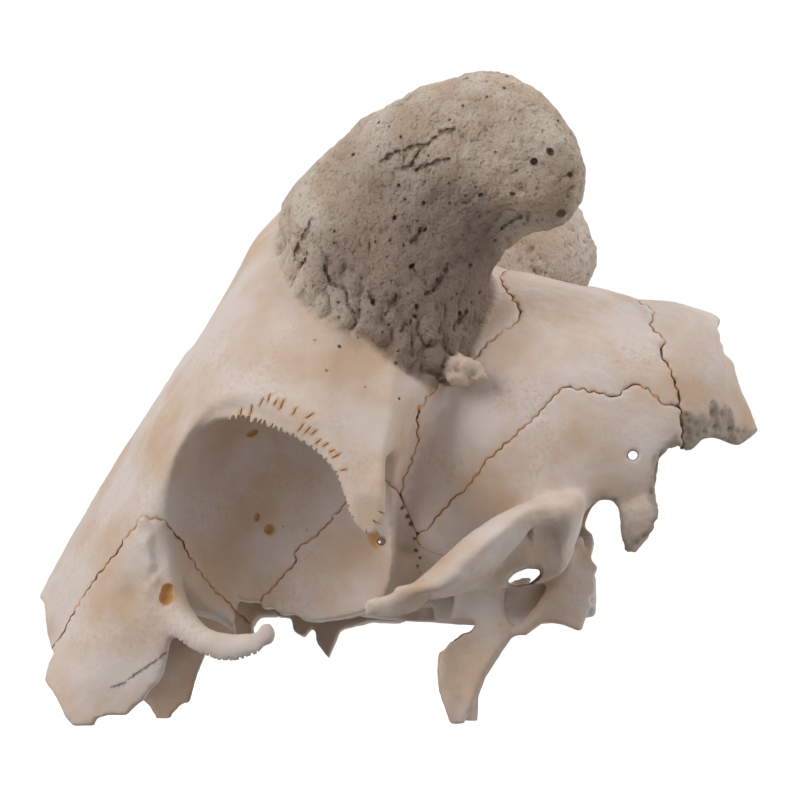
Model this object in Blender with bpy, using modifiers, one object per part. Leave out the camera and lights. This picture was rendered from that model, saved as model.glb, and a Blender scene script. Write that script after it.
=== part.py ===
"""Partial goat skull: nine bones of the braincase, forehead and orbits, parted at their open sutures.

Lengths are in millimetres until a mesh is made. In the skull's own frame +X points to the back of
the head, -Y is the animal's left side and +Z is up. The finished bones are rolled a little about X
and stand on the tips of the cheek plates and of the pterygoid plates.
"""
import math

import bmesh
import bpy
import numpy as np
from mathutils import Matrix, Vector

MM = 0.001

# Driving dimensions
BRAINCASE_WIDTH = 66.0
PROCESS_WIDTH = 104.0
WALL = 2.8
SUTURE_GAP = 0.34
ROLL = math.radians(-5.5)
FLOOR = -60.6
VOXEL = 1.1
SKULL_TRIANGLES = 4900

BONE = (0.624, 0.509, 0.448, 1.0)


# Scene and helpers

def clear_scene():
    for obj in list(bpy.data.objects):
        bpy.data.objects.remove(obj, do_unlink=True)
    for group in list(bpy.data.collections):
        bpy.data.collections.remove(group)


clear_scene()
parts = bpy.data.collections.new("partial_goat_skull")
cutters = bpy.data.collections.new("cutters")
for group in (parts, cutters):
    bpy.context.scene.collection.children.link(group)


def add_object(name, bm, group):
    mesh = bpy.data.meshes.new(name)
    bm.to_mesh(mesh)
    bm.free()
    obj = bpy.data.objects.new(name, mesh)
    group.objects.link(obj)
    if group is cutters:
        obj.hide_render = True
        obj.display_type = "WIRE"
    return obj


def through(points, steps, closed=False):
    """Catmull-Rom curve through the points, along the first axis, with steps spans for each gap."""
    p = np.asarray(points, float)
    if closed:
        p = np.concatenate([p[-1:], p, p[:2]])
    else:
        p = np.concatenate([2 * p[:1] - p[1:2], p, 2 * p[-1:] - p[-2:-1]])
    out = []
    for i in range(1, len(p) - 2):
        for t in np.arange(steps) / steps:
            a = 2 * p[i]
            b = p[i + 1] - p[i - 1]
            c = 2 * p[i - 1] - 5 * p[i] + 4 * p[i + 1] - p[i + 2]
            d = 3 * p[i] - p[i - 1] - 3 * p[i + 1] + p[i + 2]
            out.append(0.5 * (a + b * t + c * t * t + d * t * t * t))
    if not closed:
        out.append(p[-2])
    return np.array(out)


def flip(points):
    """The same points on the animal's right side."""
    return (np.asarray(points, float) * (1, -1, 1)).tolist()


def loft(name, rings, along=3, around=2, group=cutters):
    """Closed solid through rings of points, with flat ends."""
    grid = through(rings, along)
    grid = np.stack([through(ring, around, closed=True) for ring in grid])
    bm = bmesh.new()
    rows = [[bm.verts.new(Vector(p) * MM) for p in ring] for ring in grid]
    n = len(rows[0])
    for one, two in zip(rows, rows[1:]):
        for j in range(n):
            bm.faces.new((one[j], one[(j + 1) % n], two[(j + 1) % n], two[j]))
    for ring in (rows[0], rows[-1]):
        centre = bm.verts.new(sum((v.co for v in ring), Vector()) / n)
        for j in range(n):
            bm.faces.new((ring[j], ring[(j + 1) % n], centre))
    bmesh.ops.recalc_face_normals(bm, faces=bm.faces[:])
    return add_object(name, bm, group)


def sheet(name, rows, thickness=WALL, steps=3):
    """Curved plate through a grid of points on its middle surface."""
    grid = through(rows, steps)
    grid = np.stack([through(row, steps) for row in grid])
    high, wide = grid.shape[:2]
    bm = bmesh.new()
    bmesh.ops.create_grid(bm, x_segments=wide - 1, y_segments=high - 1, size=1.0)
    order = sorted(bm.verts, key=lambda v: (round(v.co.y, 4), round(v.co.x, 4)))
    for vert, place in zip(order, grid.reshape(-1, 3)):
        vert.co = Vector(place) * MM
    obj = add_object(name, bm, cutters)
    wall = obj.modifiers.new("thickness", "SOLIDIFY")
    wall.thickness = thickness * MM
    wall.offset = 0.0
    return obj


def both_sides(make, name, points, **settings):
    return [
        make("left_" + name, points, **settings),
        make("right_" + name, [flip(row) for row in points], **settings),
    ]


def evaluated(obj):
    return bpy.data.meshes.new_from_object(obj.evaluated_get(bpy.context.evaluated_depsgraph_get()))


def fuse(name, pieces, voxel, rounds=4):
    """One closed skin round overlapping solids."""
    bm = bmesh.new()
    bpy.context.view_layer.update()
    for piece in pieces:
        mesh = evaluated(piece)
        bm.from_mesh(mesh)
        bpy.data.meshes.remove(mesh)
    obj = add_object(name, bm, cutters)
    skin = obj.modifiers.new("skin", "REMESH")
    skin.mode = "VOXEL"
    skin.voxel_size = voxel * MM
    soften = obj.modifiers.new("soften", "SMOOTH")
    soften.factor = 0.5
    soften.iterations = rounds
    bpy.context.view_layer.update()
    obj.data = evaluated(obj)
    obj.modifiers.clear()
    return obj


def prism(name, outline, low, high, group=cutters):
    """Straight solid across the skull, between two values of y, with its outline in x and z."""
    bm = bmesh.new()
    near = bm.faces.new([bm.verts.new((x * MM, low * MM, z * MM)) for x, z in outline])
    far = bmesh.ops.extrude_face_region(bm, geom=[near])["geom"]
    shift = [v for v in far if isinstance(v, bmesh.types.BMVert)]
    bmesh.ops.translate(bm, verts=shift, vec=(0, (high - low) * MM, 0))
    bmesh.ops.triangulate(bm, faces=bm.faces[:])
    bmesh.ops.recalc_face_normals(bm, faces=bm.faces[:])
    return add_object(name, bm, group)


def curtain(name, line, low, high, gap=SUTURE_GAP):
    """Thin solid along a suture line, across the skull between two values of y."""
    p = np.array(line, float)
    run = np.gradient(p, axis=0)
    run /= np.linalg.norm(run, axis=1)[:, None]
    side = np.stack([-run[:, 1], run[:, 0]], axis=1) * gap / 2
    outline = np.concatenate([p + side, (p - side)[::-1]])
    return prism(name, outline.tolist(), low, high)


def slant(tool, middle, rise, drift):
    """Shear a tool that runs across the skull, so that it climbs and drifts with y."""
    for vert in tool.data.vertices:
        across = vert.co.y - middle * MM
        vert.co.z += rise * across
        vert.co.x += drift * across
    return tool


def ball(name, centre, radii, segments=16):
    bm = bmesh.new()
    bmesh.ops.create_uvsphere(bm, u_segments=segments, v_segments=segments // 2, radius=1.0)
    bmesh.ops.scale(bm, vec=Vector(radii) * MM, verts=bm.verts)
    bmesh.ops.translate(bm, vec=Vector(centre) * MM, verts=bm.verts)
    return add_object(name, bm, cutters)


def slab(name, low, high):
    bm = bmesh.new()
    bmesh.ops.create_cube(bm, size=1.0)
    low, high = Vector(low) * MM, Vector(high) * MM
    bmesh.ops.scale(bm, vec=high - low, verts=bm.verts)
    bmesh.ops.translate(bm, vec=(low + high) / 2, verts=bm.verts)
    return add_object(name, bm, cutters)


def cut(obj, tools):
    """Take the tools away from the object for good."""
    for tool in tools:
        step = obj.modifiers.new(tool.name, "BOOLEAN")
        step.operation = "DIFFERENCE"
        step.solver = "MANIFOLD"
        step.object = tool
    bpy.context.view_layer.update()
    obj.data = evaluated(obj)
    obj.modifiers.clear()


# Forehead, orbit roofs and the processes behind the eyes: one solid over both frontal bones.
# Each row is a point on the mid-line, a point on the rim, and two points under it.
HALF_PROCESS = PROCESS_WIDTH / 2
FRONTAL_ROWS = [
    ((-46, -2), (-42.5, 36.5, -27), (28, -40), (16, -44)),
    ((-42, 5), (-40.5, 38.5, -23), (30, -38), (16, -44)),
    ((-38, 11), (-38, 40.5, -18.5), (30, -38), (16, -44)),
    ((-33, 19.5), (-32, 43.5, -11), (30, -38), (16, -44)),
    ((-27, 31.5), (-24.5, 46.5, -10), (30, -38), (16, -49)),
    ((-20, 38.5), (-16, 49, -13.5), (30, -38), (16, -50)),
    ((-14, 40), (-9.5, 50.5, -18), (30, -38), (16, -50)),
    ((-9, 39.5), (-6, 51.5, -25.5), (30, -38), (16, -48)),
    ((-5, 38.5), (-3.5, HALF_PROCESS, -30), (30, -38), (15, -45)),
    ((-1, 37), (-1, HALF_PROCESS, -31.5), (30, -36), (15, -42)),
    ((2, 35.5), (1, 51, -28), (30, -32), (15, -40)),
    ((5, 33.5), (1, 49.5, -21.5), (30, -26), (15, -36)),
    ((8, 31.5), (2, 46, -15), (29, -20), (14, -30)),
    ((11, 29.5), (4.5, 42, -9), (28, -15), (13, -22)),
    ((15, 27), (8.5, 37, -4), (28, -8), (13, -10)),
    ((19, 24.5), (12, 34, 0), (27, -4), (13, -4)),
]
ROUNDNESS = 1.6


def frontal_ring(middle, rim, under, bottom):
    """Ring across the skull: a super-ellipse from rim to rim, closed below."""
    xm, zm = middle
    xr, w, zr = rim
    side = []
    for angle in np.radians([90, 76, 62, 48, 34, 20, 9]):
        out = math.sin(angle) ** (2 / ROUNDNESS)
        up = math.cos(angle) ** (2 / ROUNDNESS)
        side.append((xm + (xr - xm) * out ** 1.5, -w * out, zr + (zm - zr) * up))
    low = [(xr, -under[0], under[1]), (xr, -bottom[0], bottom[1])]
    left = low[::-1] + side
    return left + [(xm, 0, zm)] + flip(left)[::-1]


frontal_block = loft("frontal_block", [frontal_ring(*row) for row in FRONTAL_ROWS], along=3, around=1)

# Hollow of the orbit: outlines in x and z at growing depth from the side of the head.
ORBIT_RINGS = {
    60: [(-38, -64), (-38.5, -45), (-40, -36), (-40, -28), (-38.5, -20), (-35.5, -14.5), (-31, -10.5), (-25, -9.5),
         (-18, -12.5), (-12, -16), (-8, -20.5), (-6, -26), (-3.5, -31.5), (9, -36), (9, -64)],
    49: [(-38, -64), (-38.5, -45), (-40, -36), (-40, -28), (-38.5, -20), (-35.5, -14.5), (-31, -10.5), (-25, -9.5),
         (-18, -12.5), (-12, -16), (-8, -20.5), (-6, -26), (-3.5, -31.5), (9, -36), (9, -64)],
    47: [(-38, -64), (-38.5, -45), (-40, -36), (-40, -28), (-38.5, -20), (-35.5, -14), (-31, -9.5), (-25, -8.5),
         (-18, -11.5), (-12, -15), (-7, -17), (0, -18), (6, -20), (10, -30), (10, -64)],
    40: [(-38, -64), (-38.5, -45), (-40, -36), (-40, -28), (-38, -19), (-34.5, -12.5), (-30, -8.5), (-24, -7),
         (-17, -9.5), (-11, -12.5), (-6, -14.5), (1, -16.5), (7, -20), (10, -30), (10, -64)],
    33: [(-36, -64), (-36.5, -45), (-37.5, -36), (-37.5, -28), (-35.5, -19), (-32, -12), (-27.5, -8), (-22, -7.5),
         (-16, -10), (-11, -13.5), (-7, -16.5), (-2, -19), (3, -24), (5, -32), (5, -64)],
    26: [(-32.5, -64), (-33, -45), (-33.5, -36), (-33.5, -28), (-31.5, -20), (-28.5, -14), (-24.5, -11), (-20, -11),
         (-15.5, -13.5), (-11.5, -17), (-8.5, -20), (-5, -23), (-1.5, -27), (0, -33), (1, -64)],
    20: [(-28, -64), (-28, -46), (-28, -37), (-28, -30), (-26.5, -23.5), (-24, -19), (-21.5, -17), (-18.5, -17),
         (-15.5, -18.5), (-13, -21), (-11, -23.5), (-8.5, -26), (-6, -29), (-4, -34), (-3, -64)],
    16: [(-22, -64), (-21.5, -46), (-21.5, -38), (-21.5, -32), (-21, -28), (-20, -26), (-19, -25), (-18, -25),
         (-17, -25.5), (-16, -27), (-15, -28.5), (-14, -30.5), (-13, -33), (-12.5, -38), (-12, -64)],
}
orbit_rings = [[(x, -depth, z) for x, z in ring] for depth, ring in ORBIT_RINGS.items()]
orbits = both_sides(loft, "orbit_hollow", orbit_rings, along=3, around=2)
cut(frontal_block, orbits)

# Braincase: rounded sections at x, each with its top, its floor, its half width and its widest height.
HALF_CASE = BRAINCASE_WIDTH / 2
CASE_SECTIONS = [
    (-5, 18, -35, 14, -14), (0, 24, -36, 21.5, -13), (4, 28, -37, 27, -12), (9, 28, -37.5, 31, -11),
    (17, 25.5, -37.5, HALF_CASE, -11), (26, 23.2, -37, HALF_CASE + 0.3, -11), (36, 20.8, -35, 32.3, -11),
    (44, 18.6, -32, 30, -10), (51, 18.2, -30, 28, -9), (56.5, 16.8, -27, 24.5, -8), (60.4, 15, -25, 21, -8),
    (62, 10.8, -23, 18, -8), (64, 6, -20, 14.5, -8), (66.5, 0, -16, 9.5, -8), (68, -5, -12, 4, -8.5),
]


def case_ring(x, top, floor, half, waist, grow=0.0):
    ring = []
    for angle in np.radians(np.arange(0, 360, 18)):
        c, s = math.cos(angle), math.sin(angle)
        power = 0.92 if c > 0 else 0.8
        y = half * math.copysign(abs(s) ** power, s)
        reach = (top - waist) if c > 0 else (waist - floor)
        ring.append((x, -y, waist + reach * math.copysign(abs(c) ** power, c)))
    return ring


braincase = loft("braincase", [case_ring(*s) for s in CASE_SECTIONS], along=3, around=1)

# Lower broken edge of the braincase, from the ear notch to the back of the head. It lies higher on
# the right side, by a share of the way across.
BREAK_CLIMB = 0.136
LOWER_EDGE = [
    (33.5, -34), (34, -29), (35.5, -25), (37.5, -23.5), (39, -23), (40.7, -23.5), (42, -26), (41.7, -29.5),
    (43.5, -32), (44.5, -30.7), (47, -29), (49, -26), (47.5, -22), (48.5, -18.3), (48.5, -15.5), (50.5, -14),
    (52, -12), (53, -14), (54, -14.8), (56, -12.7), (56.7, -11), (61.5, -12.2), (63.5, -13.6), (66, -11.3), (70, -8.5),
    (80, -8.5), (80, -70), (33.5, -70),
]
lower_edge = slant(prism("lower_edge", LOWER_EDGE, -60, 60), -31, BREAK_CLIMB, 0)
cut(braincase, [lower_edge])

# Cheek: plate of the frontal and the lacrimal in front of the orbit, from the mid-line down.
CHEEK_ROWS = [
    [(-54, 0.5, -18.5), (-49, 0.5, -9.5), (-43, 0.5, 1), (-36, 0.5, 11.5)],
    [(-66, -9, -39.5), (-57, -10, -23), (-48, -10.5, -8.5), (-38.5, -11.5, 6.5)],
    [(-66, -14, -47), (-57, -17.5, -31), (-48, -20, -14.5), (-38, -23, -0.5)],
    [(-62, -18, -49), (-56, -24, -39.5), (-48.5, -29, -26), (-41, -32, -9)],
    [(-64, -24, -54.5), (-55, -28, -47), (-48, -32.5, -34), (-42, -36, -24.5)],
    [(-62, -28, -61), (-54, -30, -55), (-47, -33, -44), (-42, -35.5, -35)],
    [(-57.5, -30, -67), (-51.5, -30, -64.5), (-42, -31, -61.5), (-38, -34, -47)],
]
cheeks = both_sides(sheet, "cheek", CHEEK_ROWS, thickness=2.6)

# Lower front rim of the orbit: a curved band that runs back to a broken knob.
RIM_BAND = [
    [(-40, -35.5, -26), (-37.5, -32, -33), (-36.5, -32.5, -39.5), (-34.5, -34, -43.5), (-31, -37, -47),
     (-27, -39, -48), (-20.5, -41, -47.5)],
    [(-41.5, -36.5, -27), (-39.5, -35, -34), (-38.5, -35.5, -41), (-36.5, -37, -45.5), (-32, -39, -49),
     (-27, -41, -50.5), (-20.5, -42, -49.5)],
    [(-41.5, -35, -29.5), (-40, -34.5, -38), (-39, -34.5, -45.5), (-35.5, -35.5, -49.5), (-31.5, -37.5, -51.5),
     (-27, -39.5, -53), (-21, -41, -51.5)],
]
rim_bands = both_sides(sheet, "rim_band", RIM_BAND, thickness=2.4)

# Horn cores: each row is the front edge, the back edge, the distance from the mid-line and the half depth.
HORN_ROWS = [
    ((-17, 15), (11.5, -4), 27, 15.5), ((-19.5, 24), (14, 2), 26.5, 16),
    ((-20.5, 32), (15, 7), 26, 16), ((-13, 41), (17, 14), 26, 15.5),
    ((-5, 47.5), (19.5, 21), 28.5, 15), ((4, 52), (23, 24.8), 31, 14.5), ((11.5, 54.3), (26.5, 25.8), 33.5, 14),
    ((18.5, 54.8), (30.5, 25.8), 36, 13), ((25, 52.4), (33.5, 27.3), 38, 11.5), ((30.5, 47.3), (35.5, 30.8), 39.5, 8.5),
    ((34.3, 41.3), (36.4, 35), 40.5, 4.5),
]


def horn_ring(front, back, out, half):
    a, b = np.array(front, float), np.array(back, float)
    middle, reach = (a + b) / 2, (a - b) / 2
    ring = []
    for angle in np.radians(np.arange(0, 360, 30)):
        c, s = math.cos(angle), math.sin(angle)
        c = math.copysign(abs(c) ** 0.9, c)
        s = math.copysign(abs(s) ** 0.9, s)
        ring.append((middle[0] + reach[0] * c, -out + half * s, middle[1] + reach[1] * c))
    return ring


horns = both_sides(loft, "horn_core", [horn_ring(*row) for row in HORN_ROWS], along=3, around=2)

# Zygomatic process of the temporal: rings of five points, from its tip back to its root.
ZYGOMA = [
    [(-3, -46.5, -42.6), (-3, -48, -43.4), (-2.8, -47.3, -45.6), (-2.7, -46.2, -45.6), (-2.8, -45.8, -43.6)],
    [(3, -46, -41), (3.5, -49.3, -42), (3, -47, -44.8), (2.8, -45.5, -44.4), (2.8, -44.8, -42.4)],
    [(9.5, -45.5, -36), (10.5, -50, -39.8), (8.5, -44.5, -43.6), (8.5, -42.5, -42), (9, -43, -38.5)],
    [(15, -42.5, -30.5), (16, -49, -36), (14.5, -36, -41.5), (14, -31, -39), (14.5, -36, -34)],
    [(21, -38, -26), (21.5, -46.5, -31.3), (20, -27, -38.5), (20, -22, -35), (20.5, -27, -28)],
    [(27, -34, -23), (27, -42.5, -27), (26.5, -27, -37.5), (26, -21, -34), (26.5, -25, -26)],
    [(33, -31, -21.5), (33.2, -39.5, -26), (32.5, -31, -34.5), (32, -25, -34), (32.5, -25, -26)],
    [(36, -29, -21.5), (36, -34, -24), (35, -31, -27), (35, -27, -28), (35.5, -26, -24)],
]
zygomas = both_sides(loft, "zygoma", ZYGOMA, along=4, around=3)

# Sphenoid: a body on the mid-line, and on each side a long pterygoid blade and a plate behind it.
BODY_SECTIONS = [(-8, -36, -41, 7.5), (2, -35.5, -42, 9), (14, -35, -42.5, 10), (26, -34, -42.5, 9.5), (37, -33, -41, 8.5)]
body_rings = [
    [(x, half * math.sin(a), (top + low) / 2 + (top - low) / 2 * math.cos(a)) for a in np.radians(np.arange(0, 360, 36))]
    for x, top, low, half in BODY_SECTIONS
]
body = loft("sphenoid_body", body_rings, along=2, around=1)
BLADE_ROWS = [
    [(11.5, -17, -35), (16.5, -17, -35), (21, -16, -35.5)],
    [(11, -14.5, -40), (15, -13, -40), (20.5, -13, -40.5)],
    [(9, -12.5, -46.5), (13.5, -11, -46.5), (21.5, -11.5, -46)],
    [(8, -12, -51.5), (12, -10.5, -51.5), (17.8, -11.5, -51.5)],
    [(8.7, -11.5, -56.5), (12, -10, -56.5), (15.5, -11.2, -56.5)],
    [(10.8, -10.5, -63), (12.2, -10, -63.5), (13.6, -10.5, -63)],
]
blades = both_sides(sheet, "pterygoid_blade", BLADE_ROWS, thickness=2.6)
WING_ROWS = [
    [(33, -17, -27.5), (34.5, -15, -27.5), (36, -13, -28.5)],
    [(31.5, -16, -32), (34.5, -13, -32), (38, -10, -33)],
    [(28.5, -14, -37.5), (33, -11, -37.5), (37, -9, -38.5)],
    [(25, -12.5, -42), (30, -10, -42), (34, -9, -44)],
    [(20.5, -11.5, -45.5), (24, -10, -44.5), (28.5, -9, -43.5)],
]
wings = both_sides(sheet, "pterygoid_wing", WING_ROWS, thickness=2.6)

# Cavity of the nose and the brain, open in front and behind: top, floor and half width at x.
CAVITY_SECTIONS = [
    (-58, -38, -90, 19, -60), (-50, -22, -90, 22.5, -50), (-44, -9, -90, 24, -45), (-38, 0, -90, 21, -42), (-31, 8, -90, 15, -30),
    (-24, 14, -90, 12.6, -20), (-14, 18, -90, 12.3, -15), (-6, 19, -90, 12.5, -15), (-1, 20, -60, 17, -13),
    (4, 21, -34.5, 23.5, -12), (9, 21.5, -34.5, 27.8, -11), (17, 21, -34.5, 30, -11), (26, 19, -34, 30.3, -11),
    (36, 16.3, -33, 29.3, -11), (45, 13.3, -33, 27, -10), (52, 11.5, -34, 23.5, -9), (57, 6, -36, 18, -9),
    (61, -3, -40, 12, -12), (66, -12, -45, 8, -20),
]
cavity = loft("cavity", [case_ring(*s) for s in CAVITY_SECTIONS], along=3, around=1)

solids = [frontal_block, braincase, *cheeks, *rim_bands, *horns]
skull = fuse("skull", solids, VOXEL, rounds=3)
cut(skull, [cavity])
base = [*zygomas, body, *blades, *wings]
skull = fuse("skull", [skull, *base], VOXEL, rounds=4)
thin = skull.modifiers.new("thin", "DECIMATE")
thin.ratio = SKULL_TRIANGLES / sum(len(face.vertices) - 2 for face in skull.data.polygons)
thin.use_collapse_triangulate = True
bpy.context.view_layer.update()
skull.data = evaluated(skull)
skull.modifiers.clear()

# Openings and broken edges, as outlines in x and z
OVAL_HOLE = [(21, -36.8), (22.6, -35.2), (24.9, -34.2), (27.4, -34.3), (27.8, -35.7), (26, -37.2), (23.7, -37.6), (21.6, -37.5)]
VESSEL_HOLE = [(44.3 + 1.2 * math.cos(a), -14.9 + 1.1 * math.sin(a)) for a in np.radians(np.arange(0, 360, 45))]
OPTIC_CANAL = [(-2 + 1.7 * math.cos(a), -28.5 + 1.7 * math.sin(a)) for a in np.radians(np.arange(0, 360, 45))]
LEFT_WALL_EDGE = [
    (-28.8, -39.4), (-26.5, -40), (-25, -39.6), (-23.7, -41.2), (-22, -40.8), (-20.5, -42.2), (-18, -42), (-16.5, -43.2),
    (-13.5, -43.4), (-9.5, -42.8), (-4, -41.6), (1.5, -40), (7, -39.5), (7, -60), (-28.8, -60),
]
RIGHT_WALL_EDGE = [
    (-28.8, -39.4), (-24, -39.6), (-21.3, -40), (-21, -42.5), (-19, -43.8), (-17, -41.4), (-16.5, -44.8), (-14.3, -47.6),
    (-12, -42.2), (-6.3, -40.5), (-2, -40.5), (6, -40.5), (6, -60), (-28.8, -60),
]
RIGHT_CHEEK_EDGE = [
    (-40, -42), (-40.2, -44.8), (-41.6, -49), (-42.9, -54.7), (-44.6, -55.1), (-46.3, -57), (-47.3, -62), (-30, -62), (-30, -42),
]
LEFT_CHEEK_EDGE = [
    (-46.8, -61.9), (-43.6, -59), (-40.9, -56), (-39.2, -53.2), (-38.2, -51.2), (-35, -53.5), (-30, -58), (-30, -68), (-46.8, -68),
]
RIGHT_PLATE_EDGE = [
    (15.5, -70), (15.5, -57.5), (16.7, -53.9), (19.6, -49.3), (24, -43.2), (27.9, -41.4), (31.5, -41.6), (33.7, -42.4),
    (35, -41.4), (35.9, -39.8), (37, -34), (36.5, -31.7), (35, -28.9), (33.5, -27.1), (45, -27), (45, -70),
]
holes = [
    ball("left_glenoid_hollow", (30, -37, -31.5), (3.6, 7, 3.6)),
    ball("right_glenoid_hollow", (30, 37, -31.5), (3.6, 7, 3.6)),
    slant(prism("oval_hole", OVAL_HOLE, -45, 45), -22, 0.107, -0.041),
    slant(prism("vessel_hole", VESSEL_HOLE, -45, 45), -31, 0.136, -0.015),
    slant(prism("optic_canal", OPTIC_CANAL, -30, 30), -15, 0.116, -0.074),
    prism("left_wall_edge", LEFT_WALL_EDGE, -34, -2),
    prism("right_wall_edge", RIGHT_WALL_EDGE, 2, 34),
    prism("right_band_break", [(-33, -40), (-10, -40), (-10, -60), (-35, -60)], 31.5, 60),
    prism("right_process_break", [(-10, -36), (17, -25), (15.5, -33), (18.5, -38), (17, -50), (-10, -50)], 32, 60),
    prism("right_cheek_break", RIGHT_CHEEK_EDGE, 22, 45),
    prism("left_cheek_break", LEFT_CHEEK_EDGE, -45, -22),
    slant(prism("right_plate_break", RIGHT_PLATE_EDGE, 9, 30), -12, 0.105, -0.041),
]
cut(skull, holes)

# Floor that the skull stands on, turned back by the roll: it makes the small flat feet.
floor = slab("floor", (-150, -150, FLOOR - 60), (150, 150, FLOOR))
floor.data.transform(Matrix.Rotation(-ROLL, 4, "X"))
cut(skull, [floor])

# Sutures, as lines in x and z
CORONAL = [
    (70, 24.4), (21.2, 24.4), (20.9, 22.5), (19, 20), (21, 17.5), (24, 12.5), (23.5, 10), (19.5, 7.5), (15.5, 3),
    (13, 0.5), (8, -3.5), (6, -8), (5, -13), (3.5, -16.5), (2, -20.5), (2, -22.5),
]
SQUAMOSAL = [
    (4, -28.8), (7.5, -27), (12, -22.5), (15.5, -20), (17, -17), (22.5, -12), (28.5, -6.5), (30, -4), (32.5, -2.5),
    (41, -4), (45.5, -1.5), (49.5, -4.5), (54, -5.2),
]
SPHENOTEMPORAL = [(2, -21.5), (4, -25.5), (5, -28), (5.2, -31.5), (7.5, -36.5), (9.5, -44)]
LAMBDOID = [(44, 24), (45, 16), (48, 13.5), (47, 10.5), (50, 7), (49.5, 4.5), (52, -0.5), (52.5, -3.5), (53, -8), (53.5, -18)]
FRONTOSPHENOID = [
    (3, -24.5), (2, -22), (0.5, -19.5), (-1, -18.5), (-5.5, -20), (-9, -23), (-12.5, -26.5), (-17.5, -30), (-18.5, -33),
    (-24, -39.5), (-25, -50),
]
FRONTOLACRIMAL = [
    (-80, -54), (-61.5, -49.3), (-60, -46.5), (-55, -39), (-48.5, -32), (-44, -27), (-39.5, -27), (-37, -31.5), (-33, -38),
    (-29.3, -40.6), (-28.7, -42),
]
LACRIMAL_FOOT = [(-29.3, -40.6), (-28.2, -50)]
BASE_SEAM = 22.0
seams = [
    curtain("coronal", CORONAL, -60, 60),
    curtain("squamosal_left", SQUAMOSAL, -60, -14),
    curtain("squamosal_right", SQUAMOSAL, 14, 60),
    curtain("sphenotemporal_left", SPHENOTEMPORAL, -38, -17),
    curtain("sphenotemporal_right", SPHENOTEMPORAL, 17, 38),
    curtain("lambdoid", LAMBDOID, -60, 60),
    curtain("frontosphenoid", FRONTOSPHENOID, -42, 42),
    curtain("frontolacrimal", FRONTOLACRIMAL, -60, 60),
    curtain("lacrimal_foot", LACRIMAL_FOOT, -31, 31),
    slab("interfrontal", (-80, -SUTURE_GAP / 2, -25), (21.3, SUTURE_GAP / 2, 70)),
    slab("base_left", (4.7, -BASE_SEAM - SUTURE_GAP / 2, -60), (39, -BASE_SEAM + SUTURE_GAP / 2, -25)),
    slab("base_right", (4.7, BASE_SEAM - SUTURE_GAP / 2, -60), (39, BASE_SEAM + SUTURE_GAP / 2, -25)),
]
cut(skull, seams)

# Each bone is the body of the cut skull that lies nearest to a point on it.
SEEDS = {
    "left_frontal": (-1, -51, -25), "right_frontal": (-1, 51, -25),
    "left_lacrimal": (-50, -31, -58), "right_lacrimal": (-50, 31, -58),
    "parietal": (35, 0, 20), "occipital": (60, 0, 11),
    "left_temporal": (30, -40, -25), "right_temporal": (30, 40, -25),
    "sphenoid": (14, -11, -50),
}


def bodies_of(mesh):
    """Separate closed bodies of a mesh, each as a list of face indices, largest first."""
    bm = bmesh.new()
    bm.from_mesh(mesh)
    bm.faces.ensure_lookup_table()
    left = set(range(len(bm.faces)))
    found = []
    while left:
        stack = [left.pop()]
        body_faces = []
        while stack:
            face = bm.faces[stack.pop()]
            body_faces.append(face.index)
            for edge in face.edges:
                for other in edge.link_faces:
                    if other.index in left:
                        left.discard(other.index)
                        stack.append(other.index)
        found.append(body_faces)
    bm.free()
    return sorted(found, key=len, reverse=True)


def nearest(mesh, body_faces, seed):
    points = np.array([mesh.polygons[i].center for i in body_faces])
    return float(np.min(np.linalg.norm(points - np.array(seed) * MM, axis=1)))


CRUMB = 30
TOUCH = 0.004
FLAT = math.radians(2)
found = [faces for faces in bodies_of(skull.data) if len(faces) > CRUMB]
bones = []
for name, seed in SEEDS.items():
    faces = min(found, key=lambda faces: nearest(skull.data, faces, seed))
    keep = set(faces)
    bm = bmesh.new()
    bm.from_mesh(skull.data)
    bmesh.ops.delete(bm, geom=[f for f in bm.faces if f.index not in keep], context="FACES")
    bmesh.ops.remove_doubles(bm, verts=bm.verts, dist=TOUCH * MM)
    bmesh.ops.dissolve_limit(bm, angle_limit=FLAT, use_dissolve_boundaries=False, verts=bm.verts, edges=bm.edges)
    bmesh.ops.dissolve_degenerate(bm, edges=bm.edges[:], dist=TOUCH * MM)
    bmesh.ops.triangulate(bm, faces=bm.faces[:])
    bones.append(add_object(name, bm, parts))

# Pose: rolled about X, standing with the middle of its box over the origin
pose = Matrix.Rotation(ROLL, 4, "X")
for bone in bones:
    bone.data.transform(pose)
corners = np.array([v.co for bone in bones for v in bone.data.vertices])
low, high = corners.min(axis=0), corners.max(axis=0)
shift = Matrix.Translation((-(low[0] + high[0]) / 2, -(low[1] + high[1]) / 2, -low[2]))
for bone in bones:
    bone.data.transform(shift)

# Material: dry cleaned bone
for bone in bones:
    material = bpy.data.materials.new(bone.name + "_bone")
    material.use_nodes = True
    shader = material.node_tree.nodes["Principled BSDF"]
    shader.inputs["Base Color"].default_value = BONE
    shader.inputs["Roughness"].default_value = 0.62
    shader.inputs["Metallic"].default_value = 0.0
    bone.data.materials.append(material)
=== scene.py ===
"""Partial goat skull: dry cleaned bone, stubby horn cores, open sutures and broken edges.

The skull's own frame has +X to the back of the head, -Y to the animal's left and +Z up, in
millimetres. The finished bones are rolled about X and stand on their broken tips.
"""
import math

import bmesh
import bpy
import numpy as np
from mathutils import Matrix, Vector, interpolate, noise
from mathutils.bvhtree import BVHTree
from mathutils.kdtree import KDTree


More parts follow.
